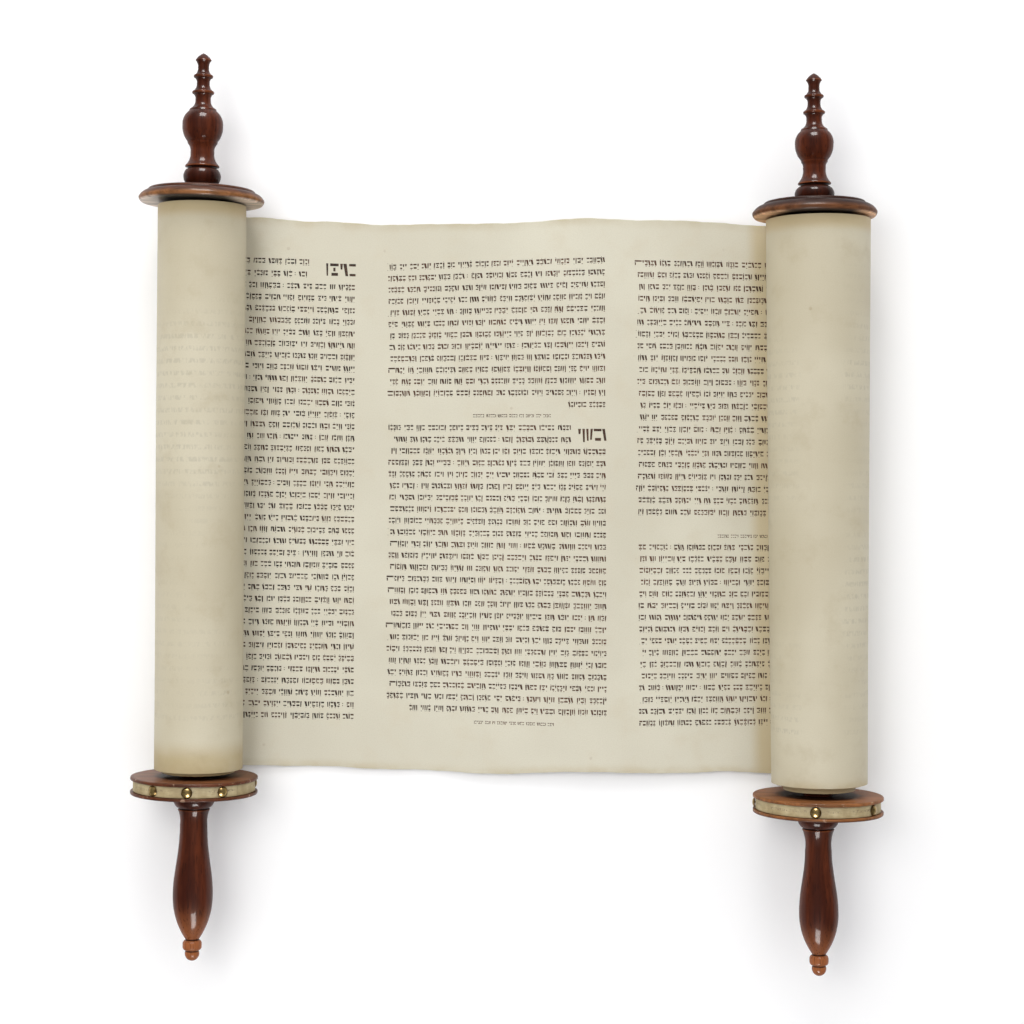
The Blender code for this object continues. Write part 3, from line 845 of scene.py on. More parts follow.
def parchment():
    """Calf parchment: mottled, with fine hair marks, yellow edges, and a warmer side turned out."""
    look = Look("parchment", Roughness=0.62, Coat_Weight=0.04, Coat_Roughness=0.35)
    strip = look.stored("strip", "Vector")
    verso = look.stored("verso")
    along, up = look.part(strip, "X"), look.part(strip, "Y")
    cloud = look.noise(strip, 7.0, 3.0)
    patch = look.noise(look.stretched(strip, place=(5.0, 2.0, 0.0)), 34.0, 4.0, 0.6)
    hair = look.noise(look.stretched(strip, place=(1.0, 7.0, 0.0)), 900.0, 3.0, 0.7)
    recto = look.mix(look.soft(cloud, 0.35, 0.65), (0.590, 0.556, 0.438), (0.632, 0.601, 0.480))
    recto = look.mix(look.soft(patch, 0.48, 0.74, 0.0, 0.40), recto, (0.575, 0.512, 0.375))
    # Beside each roll the written side is browned: partly stain, partly painted shade
    near = look.maths("MAXIMUM", look.soft(along, roll_shade, 0.0, 0.0, 0.12),
                      look.soft(along, open_width - roll_shade, open_width))
    recto = look.tinted(near, recto, (0.90, 0.80, 0.62))
    back = look.mix(look.soft(cloud, 0.32, 0.68), (0.500, 0.446, 0.314), (0.575, 0.527, 0.392))
    back = look.mix(look.soft(patch, 0.5, 0.75, 0.0, 0.4), back, (0.415, 0.350, 0.220))
    seen = rows_behind(look, strip, 0.01063, look.soft(cloud, 0.40, 0.62, 0.02, 0.26))
    back = look.mix(seen, back, (0.26, 0.235, 0.18))
    # Painted shade: the turns on a roll darken and brown near their top end, under the upper disc
    disc_shade = look.soft(up, parchment_height / 2.0 - 0.016, parchment_height / 2.0 - 0.006)
    low_end = look.soft(up, 0.030 - parchment_height / 2.0, 0.010 - parchment_height / 2.0)
    low_end = look.times(low_end, look.soft(along, 0.0, -0.02))
    back = look.tinted(disc_shade, back, (0.93, 0.83, 0.66))
    low_end = look.times(low_end, look.soft(patch, 0.15, 0.55, 0.6, 1.0))
    back = look.tinted(low_end, back, (0.82, 0.73, 0.55))
    colour = look.mix(verso, recto, back)
    inwards = look.maths("ABSOLUTE", look.maths("SUBTRACT", along, open_width / 2.0))
    inwards = look.soft(inwards, open_width / 2.0 + 0.25, open_width / 2.0 + 0.9)
    colour = look.tinted(inwards, colour, (0.70, 0.60, 0.44))
    colour = look.mix(look.soft(hair, 0.35, 0.75, 0.0, 0.16), colour, (0.36, 0.305, 0.21))
    border = look.soft(look.maths("ABSOLUTE", up), 0.2385, 0.2475, 0.0, 0.5)
    border = look.times(border, look.soft(patch, 0.3, 0.65, 0.25, 1.0))
    colour = look.mix(border, colour, (0.43, 0.345, 0.185))
    specks = look.node("ShaderNodeTexVoronoi", {"Vector": strip, "Scale": 42.0}, "Distance")
    specks = look.soft(specks, 0.085, 0.045, 0.0, 0.35)
    specks = look.times(specks, look.soft(patch, 0.5, 0.66))
    colour = look.mix(specks, colour, (0.28, 0.18, 0.09))
    look.paint(colour)
    height = look.maths("ADD", look.times(patch, 0.75), look.times(hair, 0.25))
    look.bump(height, 0.00045, 0.6)
    return look.material


def ink():
    """Brown-black iron ink that has reddened in places."""
    look = Look("ink", Roughness=0.55, Specular_IOR_Level=0.3)
    strip = look.stored("strip", "Vector")
    age = look.noise(look.stretched(strip, place=(2.0, 3.0, 0.0)), 24.0, 3.0)
    blot = look.noise(strip, 420.0, 2.0, 0.6)
    across = look.soft(look.part(strip, "X"), 0.02, 0.26, 0.0, 0.35)
    share = look.maths("ADD", look.soft(age, 0.42, 0.66, 0.0, 0.6), across, True)
    colour = look.mix(share, (0.020, 0.011, 0.006), (0.098, 0.036, 0.015))
    colour = look.mix(look.soft(blot, 0.42, 0.75, 0.0, 0.4), colour, (0.17, 0.078, 0.034))
    look.paint(colour)
    return look.material


def band_parchment(roller):
    """A strip cut from an old parchment: yellow-grey, with faint strokes and stains."""
    look = Look(f"{roller.name}_band_parchment", Roughness=0.7)
    strip = look.stored("strip", "Vector")
    cloud = look.noise(strip, 60.0, 4.0, 0.6)
    fibre = look.noise(look.stretched(strip, (160.0, 1500.0, 1.0)), 1.0, 3.0, 0.6)
    colour = look.mix(look.soft(cloud, 0.35, 0.68), (0.365, 0.280, 0.136), (0.545, 0.455, 0.258))
    colour = look.mix(look.soft(fibre, 0.35, 0.7, 0.0, 0.35), colour, (0.250, 0.185, 0.090))
    up = look.part(strip, "Y")
    marks = look.noise(look.stretched(strip, (900.0, 420.0, 1.0), (3.0, 0.0, 0.0)), 1.0, 2.0, 0.6)
    row = look.soft(look.maths("ABSOLUTE", look.maths("SUBTRACT", up, 0.0006)), 0.0012, 0.0008)
    marked = look.times(row, look.soft(marks, 0.50, 0.60))
    shown = look.noise(look.stretched(strip, (26.0, 1.0, 1.0), (7.0, 0.0, 0.0)), 1.0, 1.0)
    marked = look.times(marked, look.soft(shown, 0.45, 0.55, 0.0, 0.75))
    colour = look.mix(marked, colour, (0.085, 0.045, 0.022))
    low = groove_height(roller) / 2.0 - fit_gap
    rim = look.soft(look.maths("ABSOLUTE", up), low - 0.0016, low, 0.0, 0.45)
    colour = look.mix(rim, colour, (0.16, 0.105, 0.045))
    stain = look.noise(look.stretched(strip, (70.0, 8.0, 1.0)), 1.0, 3.0)
    colour = look.mix(look.soft(stain, 0.62, 0.72, 0.0, 0.6), colour, (0.15, 0.095, 0.040))
    look.paint(colour)
    look.bump(fibre, 0.00012, 0.6)
    return look.material


# Turned pieces

def disc_tones(roller):
    """The looks of a roller's upper and lower disc."""
    deep = -roller.upper_disc_thickness
    upper = DiscLook(
        top=(0.115, 0.038, 0.017), face=(0.080, 0.024, 0.010), rim=(0.215, 0.088, 0.030),
        under=(0.71, 0.58, 0.48),
        land=roller.upper_disc_radius - roller.upper_disc_rim_width,
        rim_from=deep * 0.40, rim_to=deep * 0.72, bottom=deep)
    lower = DiscLook(
        top=(0.180, 0.066, 0.025), face=(0.150, 0.050, 0.020), rim=(0.100, 0.030, 0.012),
        under=(0.10, 0.030, 0.014),
        land=roller.lower_disc_radius - 0.003, rim_from=0.002, rim_to=0.001,
        bottom=-roller.lower_disc_thickness, painted_shade=roller.roll_lower_radius - 0.012, under_shade=0.8)
    if roller is right:
        upper.top = (0.062, 0.021, 0.009)
        upper.face = (0.034, 0.009, 0.004)
        upper.rim = (0.120, 0.045, 0.017)
        upper.under = (0.78, 0.46, 0.26)
        upper.coat = 0.10
        lower.coat = 0.12
        lower.top = (0.250, 0.094, 0.030)
        lower.face = (0.230, 0.084, 0.026)
        lower.rim = (0.225, 0.088, 0.030)
    return upper, lower


def build_rim(roller, disc_place, brass):
    """The lower disc's parchment band and its nails."""
    name = roller.name
    height = groove_height(roller) - 2.0 * fit_gap
    outside = band_radius(roller)
    inside = outside - band_thickness
    band_line = Outline(inside).to(outside).to(outside, height).to(inside).points
    band_place = disc_place @ raised(-roller.flange_height - fit_gap)
    band = turned(f"{name}_rim_band_strip", band_line, disc_sides, band_place, True)
    corners = np.array([v.co for v in band.data.vertices])
    around = np.arctan2(corners[:, 1], corners[:, 0]) * outside
    add_values(band.data, "strip", np.column_stack([around, corners[:, 2] + height / 2.0, 0.0 * around]))
    dress(band, f"{name}_rim_band", "band_parchment", band_parchment(roller))

    middle = raised(-roller.lower_disc_thickness / 2.0)
    head_top = raised(outside + fit_gap + nail_head_edge + nail_dome_height)
    for number, angle in enumerate(roller.nail_angles, 1):
        place = disc_place @ middle @ turned_about("Z", angle) @ turned_about("X", 90.0) @ head_top
        nail = turned(f"{name}_nail_{number:02d}", nail_outline(roller), nail_sides, place)
        dress(nail, f"{name}_rim_nail_{number:02d}", "aged_brass", brass)


def build_rollers():
    """The finials, staffs, discs, bands and nails."""
    brass = aged_brass()
    for roller in rollers:
        name = roller.name
        base = roller_matrix(roller)
        half = disc_distance(roller) / 2.0
        top = half + roller.upper_disc_thickness
        lower_place = base @ raised(-half) @ turned_about("Y", roller.lower_disc_tilt)
        upper_place = base @ raised(top) @ turned_about("Y", roller.upper_disc_tilt)
        discs = (("upper", upper_disc_outline, upper_place), ("lower", lower_disc_outline, lower_place))
        for (level, outline_of, place), tones in zip(discs, disc_tones(roller)):
            label = f"{name}_{level}_disc"
            disc = turned(f"{label}_turned", outline_of(roller), disc_sides, place, True)
            dress(disc, label, "disc_wood", disc_wood(f"{label}_wood", tones))
        build_rim(roller, lower_place, brass)

        staff = turned(f"{name}_staff_turned", staff_outline(roller), turned_sides, base @ raised(top))
        worn_from = -shaft_length(roller) - worn_handle_start
        wood = mahogany(f"{name}_handle_mahogany", 1.0, worn=(worn_from, worn_from - worn_handle_length))
        dress(staff, f"{name}_staff", "mahogany", wood)
        outline = finial_outline(roller)
        foot = outline[-1][1]
        seat = fit_gap + askew(roller.base_collar_radius, roller.upper_disc_tilt)
        finial = turned(f"{name}_finial_turned", outline, turned_sides, base @ raised(top + seat - foot))
        wood = mahogany(f"{name}_finial_mahogany", 0.9, painted_shade=(foot + finial_shade_from, foot + finial_shade_to))
        dress(finial, f"{name}_finial", "mahogany", wood)


# The wound sheet

def steady(values):
    """0 to 1, softly."""
    values = np.clip(values, 0.0, 1.0)
    return values * values * (3.0 - 2.0 * values)


def turn_count(roller):
    """How many turns the strip has round this staff."""
    return round((roller.roll_lower_radius - innermost_radius) / layer_pitch)


def roll_radius(roller, up):
    """The outside of the roll, from its lower end (0) to its upper end (1)."""
    return roller.roll_lower_radius + (roller.roll_upper_radius - roller.roll_lower_radius) * up


def dents(roller, angle, station):
    """How far a roll is out of round."""
    phase = 0.7 if roller is left else 2.1
    return (0.00022 * np.cos(2.0 * angle + phase + 3.0 * station)
            + 0.00013 * np.cos(3.0 * angle + 2.0 * phase - 9.0 * station)
            + 0.00009 * np.cos(5.0 * angle + 4.0 * phase + 17.0 * station)
            + 0.00007 * np.sin(21.0 * station + phase) * np.cos(angle - phase))


def telescoped(roller, turn, up):
    """How far a turn has slid out of the roll's lower end."""
    radius = roller.roll_lower_radius
    total = turn_count(roller)
    pitch = (radius - innermost_radius) / total
    shell = (shell_inset / pitch, roller.shell_step)
    core = (roller.core_inset / pitch, roller.core_step - roller.shell_step)
    slid = 0.0
    for start, step in (shell, core):
        slid = slid + step * steady((turn - start) / telescope_turns)
    restless = 0.00022 * np.sin(2.3 * turn + 1.0) * steady((turn - 1.0) / 1.0)
    return -slid + restless


def wound(roller, turn, up):
    """Points of the wound sheet's middle surface, some turns in from where it comes off."""
    turn, up = np.asarray(turn, float), np.asarray(up, float)
    station = (up - 0.5) * parchment_height
    outer = roll_radius(roller, up) - parchment_thickness / 2.0
    radius = outer - (outer - innermost_radius) * turn / turn_count(roller)
    angle = 2.0 * np.pi * turn
    radius = radius + dents(roller, angle, station) * (radius / outer) ** 2
    slid = station + telescoped(roller, turn, up)
    local = np.stack([roller.side * radius * np.sin(angle), radius * np.cos(angle), slid + 0.0 * angle], -1)
    matrix = np.array(roller_matrix(roller) @ roll_matrix(roller))
    return local @ matrix[:3, :3].T + matrix[:3, 3]


def wound_length(roller, turn):
    """How much of the strip is wound on, to that turn."""
    outer = (roller.roll_lower_radius + roller.roll_upper_radius) / 2.0
    pitch = (outer - innermost_radius) / turn_count(roller)
    return 2.0 * math.pi * (outer * turn - pitch * turn * turn / 2.0)


# The open sheet: a flat place is (along, up), with along 0 at the left roll's edge

def contact(roller, up):
    """The line under a roll where the sheet meets it."""
    return wound(roller, np.zeros_like(up), up)


open_width = 0.0
under_width = {}


def measure_sheet():
    """Sets the flat widths of the open span and of the parts under the rolls."""
    global open_width
    middle = np.array(0.5)
    left_line, right_line = contact(left, middle), contact(right, middle)
    under_width["left"] = float(roll_radius(left, 0.5))
    under_width["right"] = float(roll_radius(right, 0.5))
    open_width = float(right_line[0] - left_line[0]) - under_width["left"] - under_width["right"]


def waves(terms, along, up):
    """A sum of waves."""
    return sum(height * np.sin(pace * along + rise * up + start) for height, pace, rise, start in terms)


def ripple(along, up):
    """The open sheet's gentle unevenness."""
    inside = steady(along / calm_width) * steady((open_width - along) / calm_width)
    return waves(sheet_waves, along, up) * inside


def raggedness(along, up):
    """How far the cut edges stray from a straight line."""
    inside = steady((along + 0.02) / 0.03) * steady((open_width + 0.02 - along) / 0.03)
    near_upper = steady((up - parchment_height / 2.0 + ragged_reach) / ragged_reach)
    near_lower = steady((-up - parchment_height / 2.0 + ragged_reach) / ragged_reach)
    upper = waves(upper_edge_waves, along, up) * near_upper
    return (upper + waves(lower_edge_waves, along, up) * near_lower) * inside


def sheet_middle(along, up):
    """World points of the open sheet's middle surface for flat places."""
    along, up = np.asarray(along, float), np.asarray(up, float)
    height = up / parchment_height + 0.5
    left_line, right_line = contact(left, height), contact(right, height)
    left_radius, right_radius = roll_radius(left, height), roll_radius(right, height)
    start = left_line[..., 0] + left_radius
    end = right_line[..., 0] - right_radius
    share = np.clip(along / open_width, 0.0, 1.0)
    x = start + (end - start) * share
    tall = parchment_height + through(sheet_extra_height, share)
    y = root_shift.y + through(sheet_drift, share) + (height - 0.5) * tall
    z = through(sheet_lift, share) + ripple(along, up)
    for roller, line, radius, past in (
            (left, left_line, left_radius, -along / under_width["left"]),
            (right, right_line, right_radius, (along - open_width) / under_width["right"])):
        under = np.clip(past, 0.0, 1.0)
        here = past > 0.0
        x = np.where(here, line[..., 0] - roller.side * radius * (1.0 - under), x)
        y = np.where(here, eased(line[..., 1], y, 1.0 - under), y)
        z = np.where(here, eased(line[..., 2], z, 1.0 - under), z)
    return np.stack([x, y + raggedness(along, up), z], -1)


def sheet_growth(share):
    """How much taller the open sheet lies than it was cut, at a share of its width."""
    return 1.0 + through(sheet_extra_height, share) / parchment_height


def level_of(along, up):
    """How far a flat place lies above the root, level with the ground's axes."""
    share = np.clip(along / open_width, 0.0, 1.0)
    return through(sheet_drift, share) + up * sheet_growth(share)


def up_of(along, level):
    """The flat place up the sheet that lies at a level."""
    share = np.clip(along / open_width, 0.0, 1.0)
    return (level - through(sheet_drift, share)) / sheet_growth(share)


def across(first, second):
    """Unit normals from two directions along a surface."""
    normal = np.cross(first, second)
    return normal / np.linalg.norm(normal, axis=-1, keepdims=True)


def sheet_normal(along, up):
    """Unit normals of the open sheet, on the written side."""
    small = normal_reach
    first = sheet_middle(along + small, up) - sheet_middle(along - small, up)
    second = sheet_middle(along, up + small) - sheet_middle(along, up - small)
    return across(first, second)


def wound_normal(roller, turn, up):
    """Unit normals of the wound sheet, on the written side."""
    small = normal_turns
    forward = wound(roller, turn + small, up) - wound(roller, turn - small, up)
    second = wound(roller, turn, up + small) - wound(roller, turn, up - small)
    return across(roller.side * forward, second)


# The rows of strokes

def flat_along(column):
    """The flat place along the sheet of a column of the photograph's pixels."""
    start = float(contact(left, np.array(0.5))[0]) + under_width["left"]
    return camera_place[0] + (column - picture_size / 2.0) * sheet_pixel - start


def row_level(row):
    """The level of a row of the photograph's pixels."""
    return camera_place[1] - (row - text_axis_row) * text_pixel - root_shift.y


@dataclass
class Row:
    """One row of strokes: its level and tilt at a pivot, its ends, its strokes' height and boldness."""

    level: float
    pivot: float
    tilt: float
    start: float
    end: float
    height: float
    stretch: bool = True
    dotted: bool = True
    bold: float = 1.0

    def at(self, along):
        """The level of the row's middle at a place along the sheet."""
        return self.level + self.tilt * (along - self.pivot)


def quad(chance, x0, x1, y0, y1, slant=0.0, foot=1.0):
    """A four-cornered stroke with an unsteady hand, which may narrow towards its foot."""
    inset = (x1 - x0) * (1.0 - foot) / 2.0
    corners = ((x0 - slant + inset, y0), (x1 - slant - inset, y0), (x1 + slant, y1), (x0 + slant, y1))
    return [tuple(value + chance.uniform(-unsteady_hand, unsteady_hand) for value in corner)
            for corner in corners]


def stroke_group(chance, right_end, row, strokes):
    """A few bars and ticks side by side, none touching another. Returns where the next may start."""
    x = right_end
    h = row.height
    scale = h / stroke_height
    low, high = row.level - h / 2.0, row.level + h / 2.0
    thick = thick_stroke * row.bold * scale
    thin = thin_stroke * row.bold * scale
    for _ in range(chance.choice((3, 4, 4, 5, 5, 6, 7))):
        kind = chance.random()
        if kind < 0.34:
            width = thin * chance.uniform(0.9, 1.3)
            bottom = low + h * chance.choice((-0.12, 0.0, 0.0, 0.0, 0.08))
            slant = chance.uniform(-0.12, 0.2) * thin
            strokes.append(quad(chance, x - width, x, bottom, high, slant, 0.72))
        elif kind < 0.46:
            width = thick * chance.uniform(0.9, 1.2)
            bottom = high - h * chance.uniform(0.42, 0.56)
            strokes.append(quad(chance, x - width, x, bottom, high, 0.0, 0.6))
        elif kind < 0.88:
            width = h * chance.uniform(0.42, 0.70)
            upper = thick * chance.uniform(0.85, 1.1)
            strokes.append(quad(chance, x - width, x, high - upper, high))
            lower = thick * chance.choice((0.7, 0.9, 1.1))
            inset = width * chance.uniform(0.0, 0.16)
            strokes.append(quad(chance, x - width + inset, x - inset * 0.5, low, low + lower))
            if chance.random() < 0.55:
                tick = thin * chance.uniform(0.85, 1.1)
                middle = x - width * chance.choice((0.2, 0.5, 0.8))
                top, foot = high - upper - stroke_gap * scale, low + lower + stroke_gap * scale
                strokes.append(quad(chance, middle - tick / 2.0, middle + tick / 2.0, foot, top))
        else:
            width = thick * chance.uniform(1.1, 1.5)
            strokes.append(quad(chance, x - width, x, low, high, -0.35 * thick, 0.8))
        if row.dotted:
            add_dots(chance, x - width / 2.0, row, strokes)
        x -= width + stroke_gap * scale * chance.uniform(0.9, 1.35)
    return x


def add_dots(chance, x, row, strokes):
    """Tiny marks under and over a stroke."""
    size = dot_size / 2.0
    below = row.level - row.height / 2.0 - dot_drop
    above = row.level + row.height / 2.0 + dot_drop
    if chance.random() < 0.62:
        wide = size * chance.choice((1.0, 1.0, 2.2))
        strokes.append(quad(chance, x - wide, x + wide, below - size, below + size))
    if chance.random() < 0.16:
        strokes.append(quad(chance, x - size, x + size, above - size, above + size))


def row_strokes(chance, row):
    """The strokes of one row, from its right end to its left end."""
    strokes = []
    scale = row.height / stroke_height
    start = row.start + (chance.uniform(-0.0022, 0.0018) if row.stretch else 0.0)
    x = row.end
    while x - start > least_group * scale:
        x = stroke_group(chance, x, row, strokes)
        x -= word_gap * scale * chance.uniform(0.8, 1.25)
        if chance.random() < 0.05 and x - start > pair_room:
            for step in (-pair_spread, pair_spread):
                middle = row.level + row.height * step
                foot, top = middle - pair_half_height, middle + pair_half_height
                strokes.append(quad(chance, x - pair_width, x, foot, top))
            x -= word_gap + pair_width
    strokes[:] = [s for s in strokes if min(p[0] for p in s) > start]
    x = min(p[0] for s in strokes for p in s) - stroke_gap
    if row.stretch and x - start > least_filler:
        high = row.level + row.height / 2.0
        low = row.level - row.height / 2.0
        strokes.append(quad(chance, start, x, high - thick_stroke, high))
        if chance.random() < 0.4:
            strokes.append(quad(chance, start + 0.0003, x - 0.0003, low, low + thick_stroke * 0.8))
        else:
            foot = start + thin_stroke * chance.uniform(0.9, 1.2)
            strokes.append(quad(chance, start, foot, low, high - thick_stroke - stroke_gap, 0.0, 0.8))
    return [[(px, py + row.tilt * (px - row.pivot)) for px, py in s] for s in strokes]


def evenly(first, last, count):
    """Evenly spaced values."""
    return [first + (last - first) * i / (count - 1) for i in range(count)]


def text_columns():
    """The three columns: for each, its two seams and its bands, each (lower line, upper line, rows).

    A line is a pair of levels, at the two seams, or None at the sheet's edge.
    """
    seams = [round(flat_along(column), 8) for column in (370.0, 621.0)]
    begin, finish = -under_text, round(open_width + under_text, 8)
    plain = {"stretch": False}
    small = {"stretch": False, "dotted": False, "bold": 0.8}
    large = {"stretch": False, "dotted": False, "bold": 0.72}
    stroke = stroke_height

    # Each row is its place in the photograph: y, left x or None for the seam, right x or None, height
    first = [(y, None, 354.0, stroke, {}) for y in evenly(284.3, 715.4, 38)]
    first[:0] = [(259.8, None, 308.0, stroke, plain), (272.2, None, 306.0, stroke, plain)]
    second = [(y, 388.0, 605.5, stroke, {}) for y in evenly(262.0, 391.7, 12)]
    second.append((403.6, 562.0, 605.5, stroke, plain))
    second.append((414.8, 470.0, 551.0, small_sign_height, small))
    rows = evenly(426.7, 709.6, 25)
    second += [(y, 388.0, 571.0, stroke, plain) for y in rows[:2]]
    second += [(y, 388.0, 605.5, stroke, {}) for y in rows[2:24]]
    second.append((rows[24], 409.0, 605.5, stroke, plain))
    second.append((722.6, 472.0, 553.0, small_sign_height, small))
    third = [(y, 638.0, None, stroke, {}) for y in evenly(262.6, 511.6, 22)]
    third.append((535.3, 716.0, 800.0, small_sign_height, small))
    third += [(y, 638.0, None, stroke, {}) for y in evenly(546.6, 722.3, 16)]

    # Large signs stand beside a column's two rows from a number on. Tilts are those of a few rows.
    layouts = (
        (begin, seams[0], first, (267.0, 313.0, 355.0, 0.0112, large), 0, 300.0,
         ((260.0, 0.026), (390.0, 0.034), (460.0, 0.026), (715.0, 0.023))),
        (seams[0], seams[1], second, (433.6, 576.0, 606.0, 0.0108, large), 14, 496.0,
         ((262.0, -0.030), (405.0, 0.0), (570.0, 0.020), (708.0, 0.024))),
        (seams[1], finish, third, None, None, 700.0,
         ((262.0, 0.019), (400.0, 0.012), (512.0, 0.012), (546.0, 0.005), (651.0, 0.0), (722.0, -0.009))),
    )
    columns = []
    for start, end, entries, extra, beside, pivot, tilts in layouts:

        def as_row(entry):
            y, x0, x1, height, settings = entry
            tilt = -float(np.interp(y, *zip(*tilts)))
            first_x = start + seam_margin if x0 is None else flat_along(x0)
            last_x = end - seam_margin if x1 is None else flat_along(x1)
            return Row(row_level(y), flat_along(pivot), tilt, first_x, last_x, height, **settings)

        bands = [[as_row(entry)] for entry in entries]
        if extra:
            bands[beside:beside + 2] = [bands[beside] + bands[beside + 1] + [as_row(extra)]]

        def line(row, shift):
            return tuple(round(row.at(at) + shift, 8) for at in (start, end))

        def between(over, under):
            return tuple(round((a + b) / 2.0, 8) for a, b in zip(line(over, 0.0), line(under, 0.0)))

        # The margins above the first row and below the last one are cells of their own.
        lines = [line(bands[0][0], margin_reach)]
        for here, below in zip(bands, bands[1:]):
            lines.append(between(here[min(1, len(here) - 1)], below[0]))
        lines.append(line(bands[-1][-1], -margin_reach))
        cells = [(lines[0], None, [])]
        cells += [(lines[k + 1], lines[k], band) for k, band in enumerate(bands)]
        cells.append((None, lines[-1], []))
        columns.append((start, end, cells))
    return columns


# The sheet's mesh

written_face, ink_face, cut_face = 0, 1, 2


class StripMesh:
    """The whole strip's vertices and faces, with what each one carries."""

    def __init__(self):
        self.places, self.normals, self.strips, self.verso = [], [], [], []
        self.faces, self.kinds = [], []

    def add(self, places, normals, strips, verso):
        """Adds vertices and returns the first one's number."""
        first = len(self.places)
        self.places += places.tolist()
        self.normals += normals.tolist()
        self.strips += strips.tolist()
        self.verso += [verso] * len(places)
        return first

    def face(self, corners, kind=written_face):
        """Adds a face."""
        self.faces.append(tuple(corners))
        self.kinds.append(kind)


def line_points(first, last, step, extra=()):
    """Values from first to last about a step apart, with extra ones among them."""
    count = max(1, round((last - first) / step))
    values = [first + (last - first) * i / count for i in range(count + 1)]
    found = sorted(set(round(v, 8) for v in list(values) + [e for e in extra if first < e < last]))
    kept = [found[0]]
    for value in found[1:]:
        if value - kept[-1] > 0.0002 or value in extra:
            kept.append(value)
    return kept


def key(x, y):
    """A flat place, rounded to a tenth of a micrometre so that it can be found again."""
    return (round(x * 1e7), round(y * 1e7))


def cell_triangles(boundary, strokes, inner):
    """Triangles that fill a cell, and whether each lies in a stroke. Corners are flat places."""
    points = list(boundary)
    faces = [list(range(len(boundary)))]
    for stroke in strokes:
        faces.append(list(range(len(points), len(points) + len(stroke))))
        points += stroke
    points += inner
    found = delaunay_2d_cdt([Vector(p) for p in points], [], faces, 1, 1e-9)
    # Blender rounds the points that it is given, so each corner goes back to the exact one.
    corners = [points[origin[0]] if origin else tuple(place) for place, origin in zip(found[0], found[3])]
    return corners, found[2], [any(o > 0 for o in owner) for owner in found[5]]


def edge_level(x, up):
    """The level of a flat place, rounded so that it can be found again."""
    return round(float(level_of(x, up)), 8)


def seam_levels(regions, seam_up):
    """The levels of the vertices on each line between regions. The outermost lines have the rolls' own."""
    breaks = {}
    for start, end, cells in regions:
        for which, at in enumerate((start, end)):
            found = (line[which] for cell in cells for line in cell[:2] if line is not None)
            breaks.setdefault(at, set()).update(found)
    half = parchment_height / 2.0
    levels = {}
    for at, found in breaks.items():
        if at in (regions[0][0], regions[-1][1]):
            levels[at] = [edge_level(at, up) for up in seam_up]
        else:
            ends = edge_level(at, -half), edge_level(at, half)
            levels[at] = line_points(*ends, seam_grid_step, sorted(found))
    return levels


def cell_border(start, end, low, high, levels):
    """The places along a cell, its lower and upper levels there, and its border in order."""
    half = parchment_height / 2.0
    line = line_points(start, end, grid_step)
    lower, upper = [], []
    for x in line:
        share = (x - start) / (end - start)
        for given, edge, found in ((low, -half, lower), (high, half, upper)):
            slanted = given and round(given[0] + (given[1] - given[0]) * share, 8)
            found.append(edge_level(x, edge) if given is None else slanted)
    border = list(zip(line, lower))
    border += [(end, y) for y in levels[end] if lower[-1] < y < upper[-1]]
    border += list(zip(line, upper))[::-1]
    border += [(start, y) for y in reversed(levels[start]) if lower[0] < y < upper[0]]
    return line, lower, upper, border


def written_side(regions, levels):
    """The written side's flat places, their numbers by key, and its triangles with their kinds."""
    chance = random.Random(613)
    flat, numbers, triangles = [], {}, []
    for start, end, cells in regions:
        for low, high, rows in cells:
            line, lower, upper, border = cell_border(start, end, low, high, levels)
            strokes = [stroke for row in rows for stroke in row_strokes(chance, row)]
            inner = []
            if not strokes:
                count = max(1, round((upper[0] - lower[0]) / grid_step))
                for x, bottom, top in list(zip(line, lower, upper))[1:-1]:
                    inner += [(x, bottom + (top - bottom) * i / count) for i in range(1, count)]
            corners, faces, inked = cell_triangles(border, strokes, inner)
            for face, dark in zip(faces, inked):
                found = []
                for x, y in (corners[i] for i in face):
                    if key(x, y) not in numbers:
                        numbers[key(x, y)] = len(numbers)
                        flat.append((x, float(up_of(x, y))))
                    found.append(numbers[key(x, y)])
                if len(set(found)) == 3:
                    triangles.append((found, ink_face if dark else written_face))
    return np.array(flat), numbers, triangles


def add_side(strip, flat, side):
    """Adds the open sheet's written side (1) or its back (-1). Returns its first vertex's number."""
    normals = sheet_normal(flat[:, 0], flat[:, 1]) * side
    places = sheet_middle(flat[:, 0], flat[:, 1]) + normals * parchment_thickness / 2.0
    strips = np.column_stack([flat, np.zeros(len(flat))])
    return strip.add(places, normals, strips, 0.0 if side > 0 else 1.0)


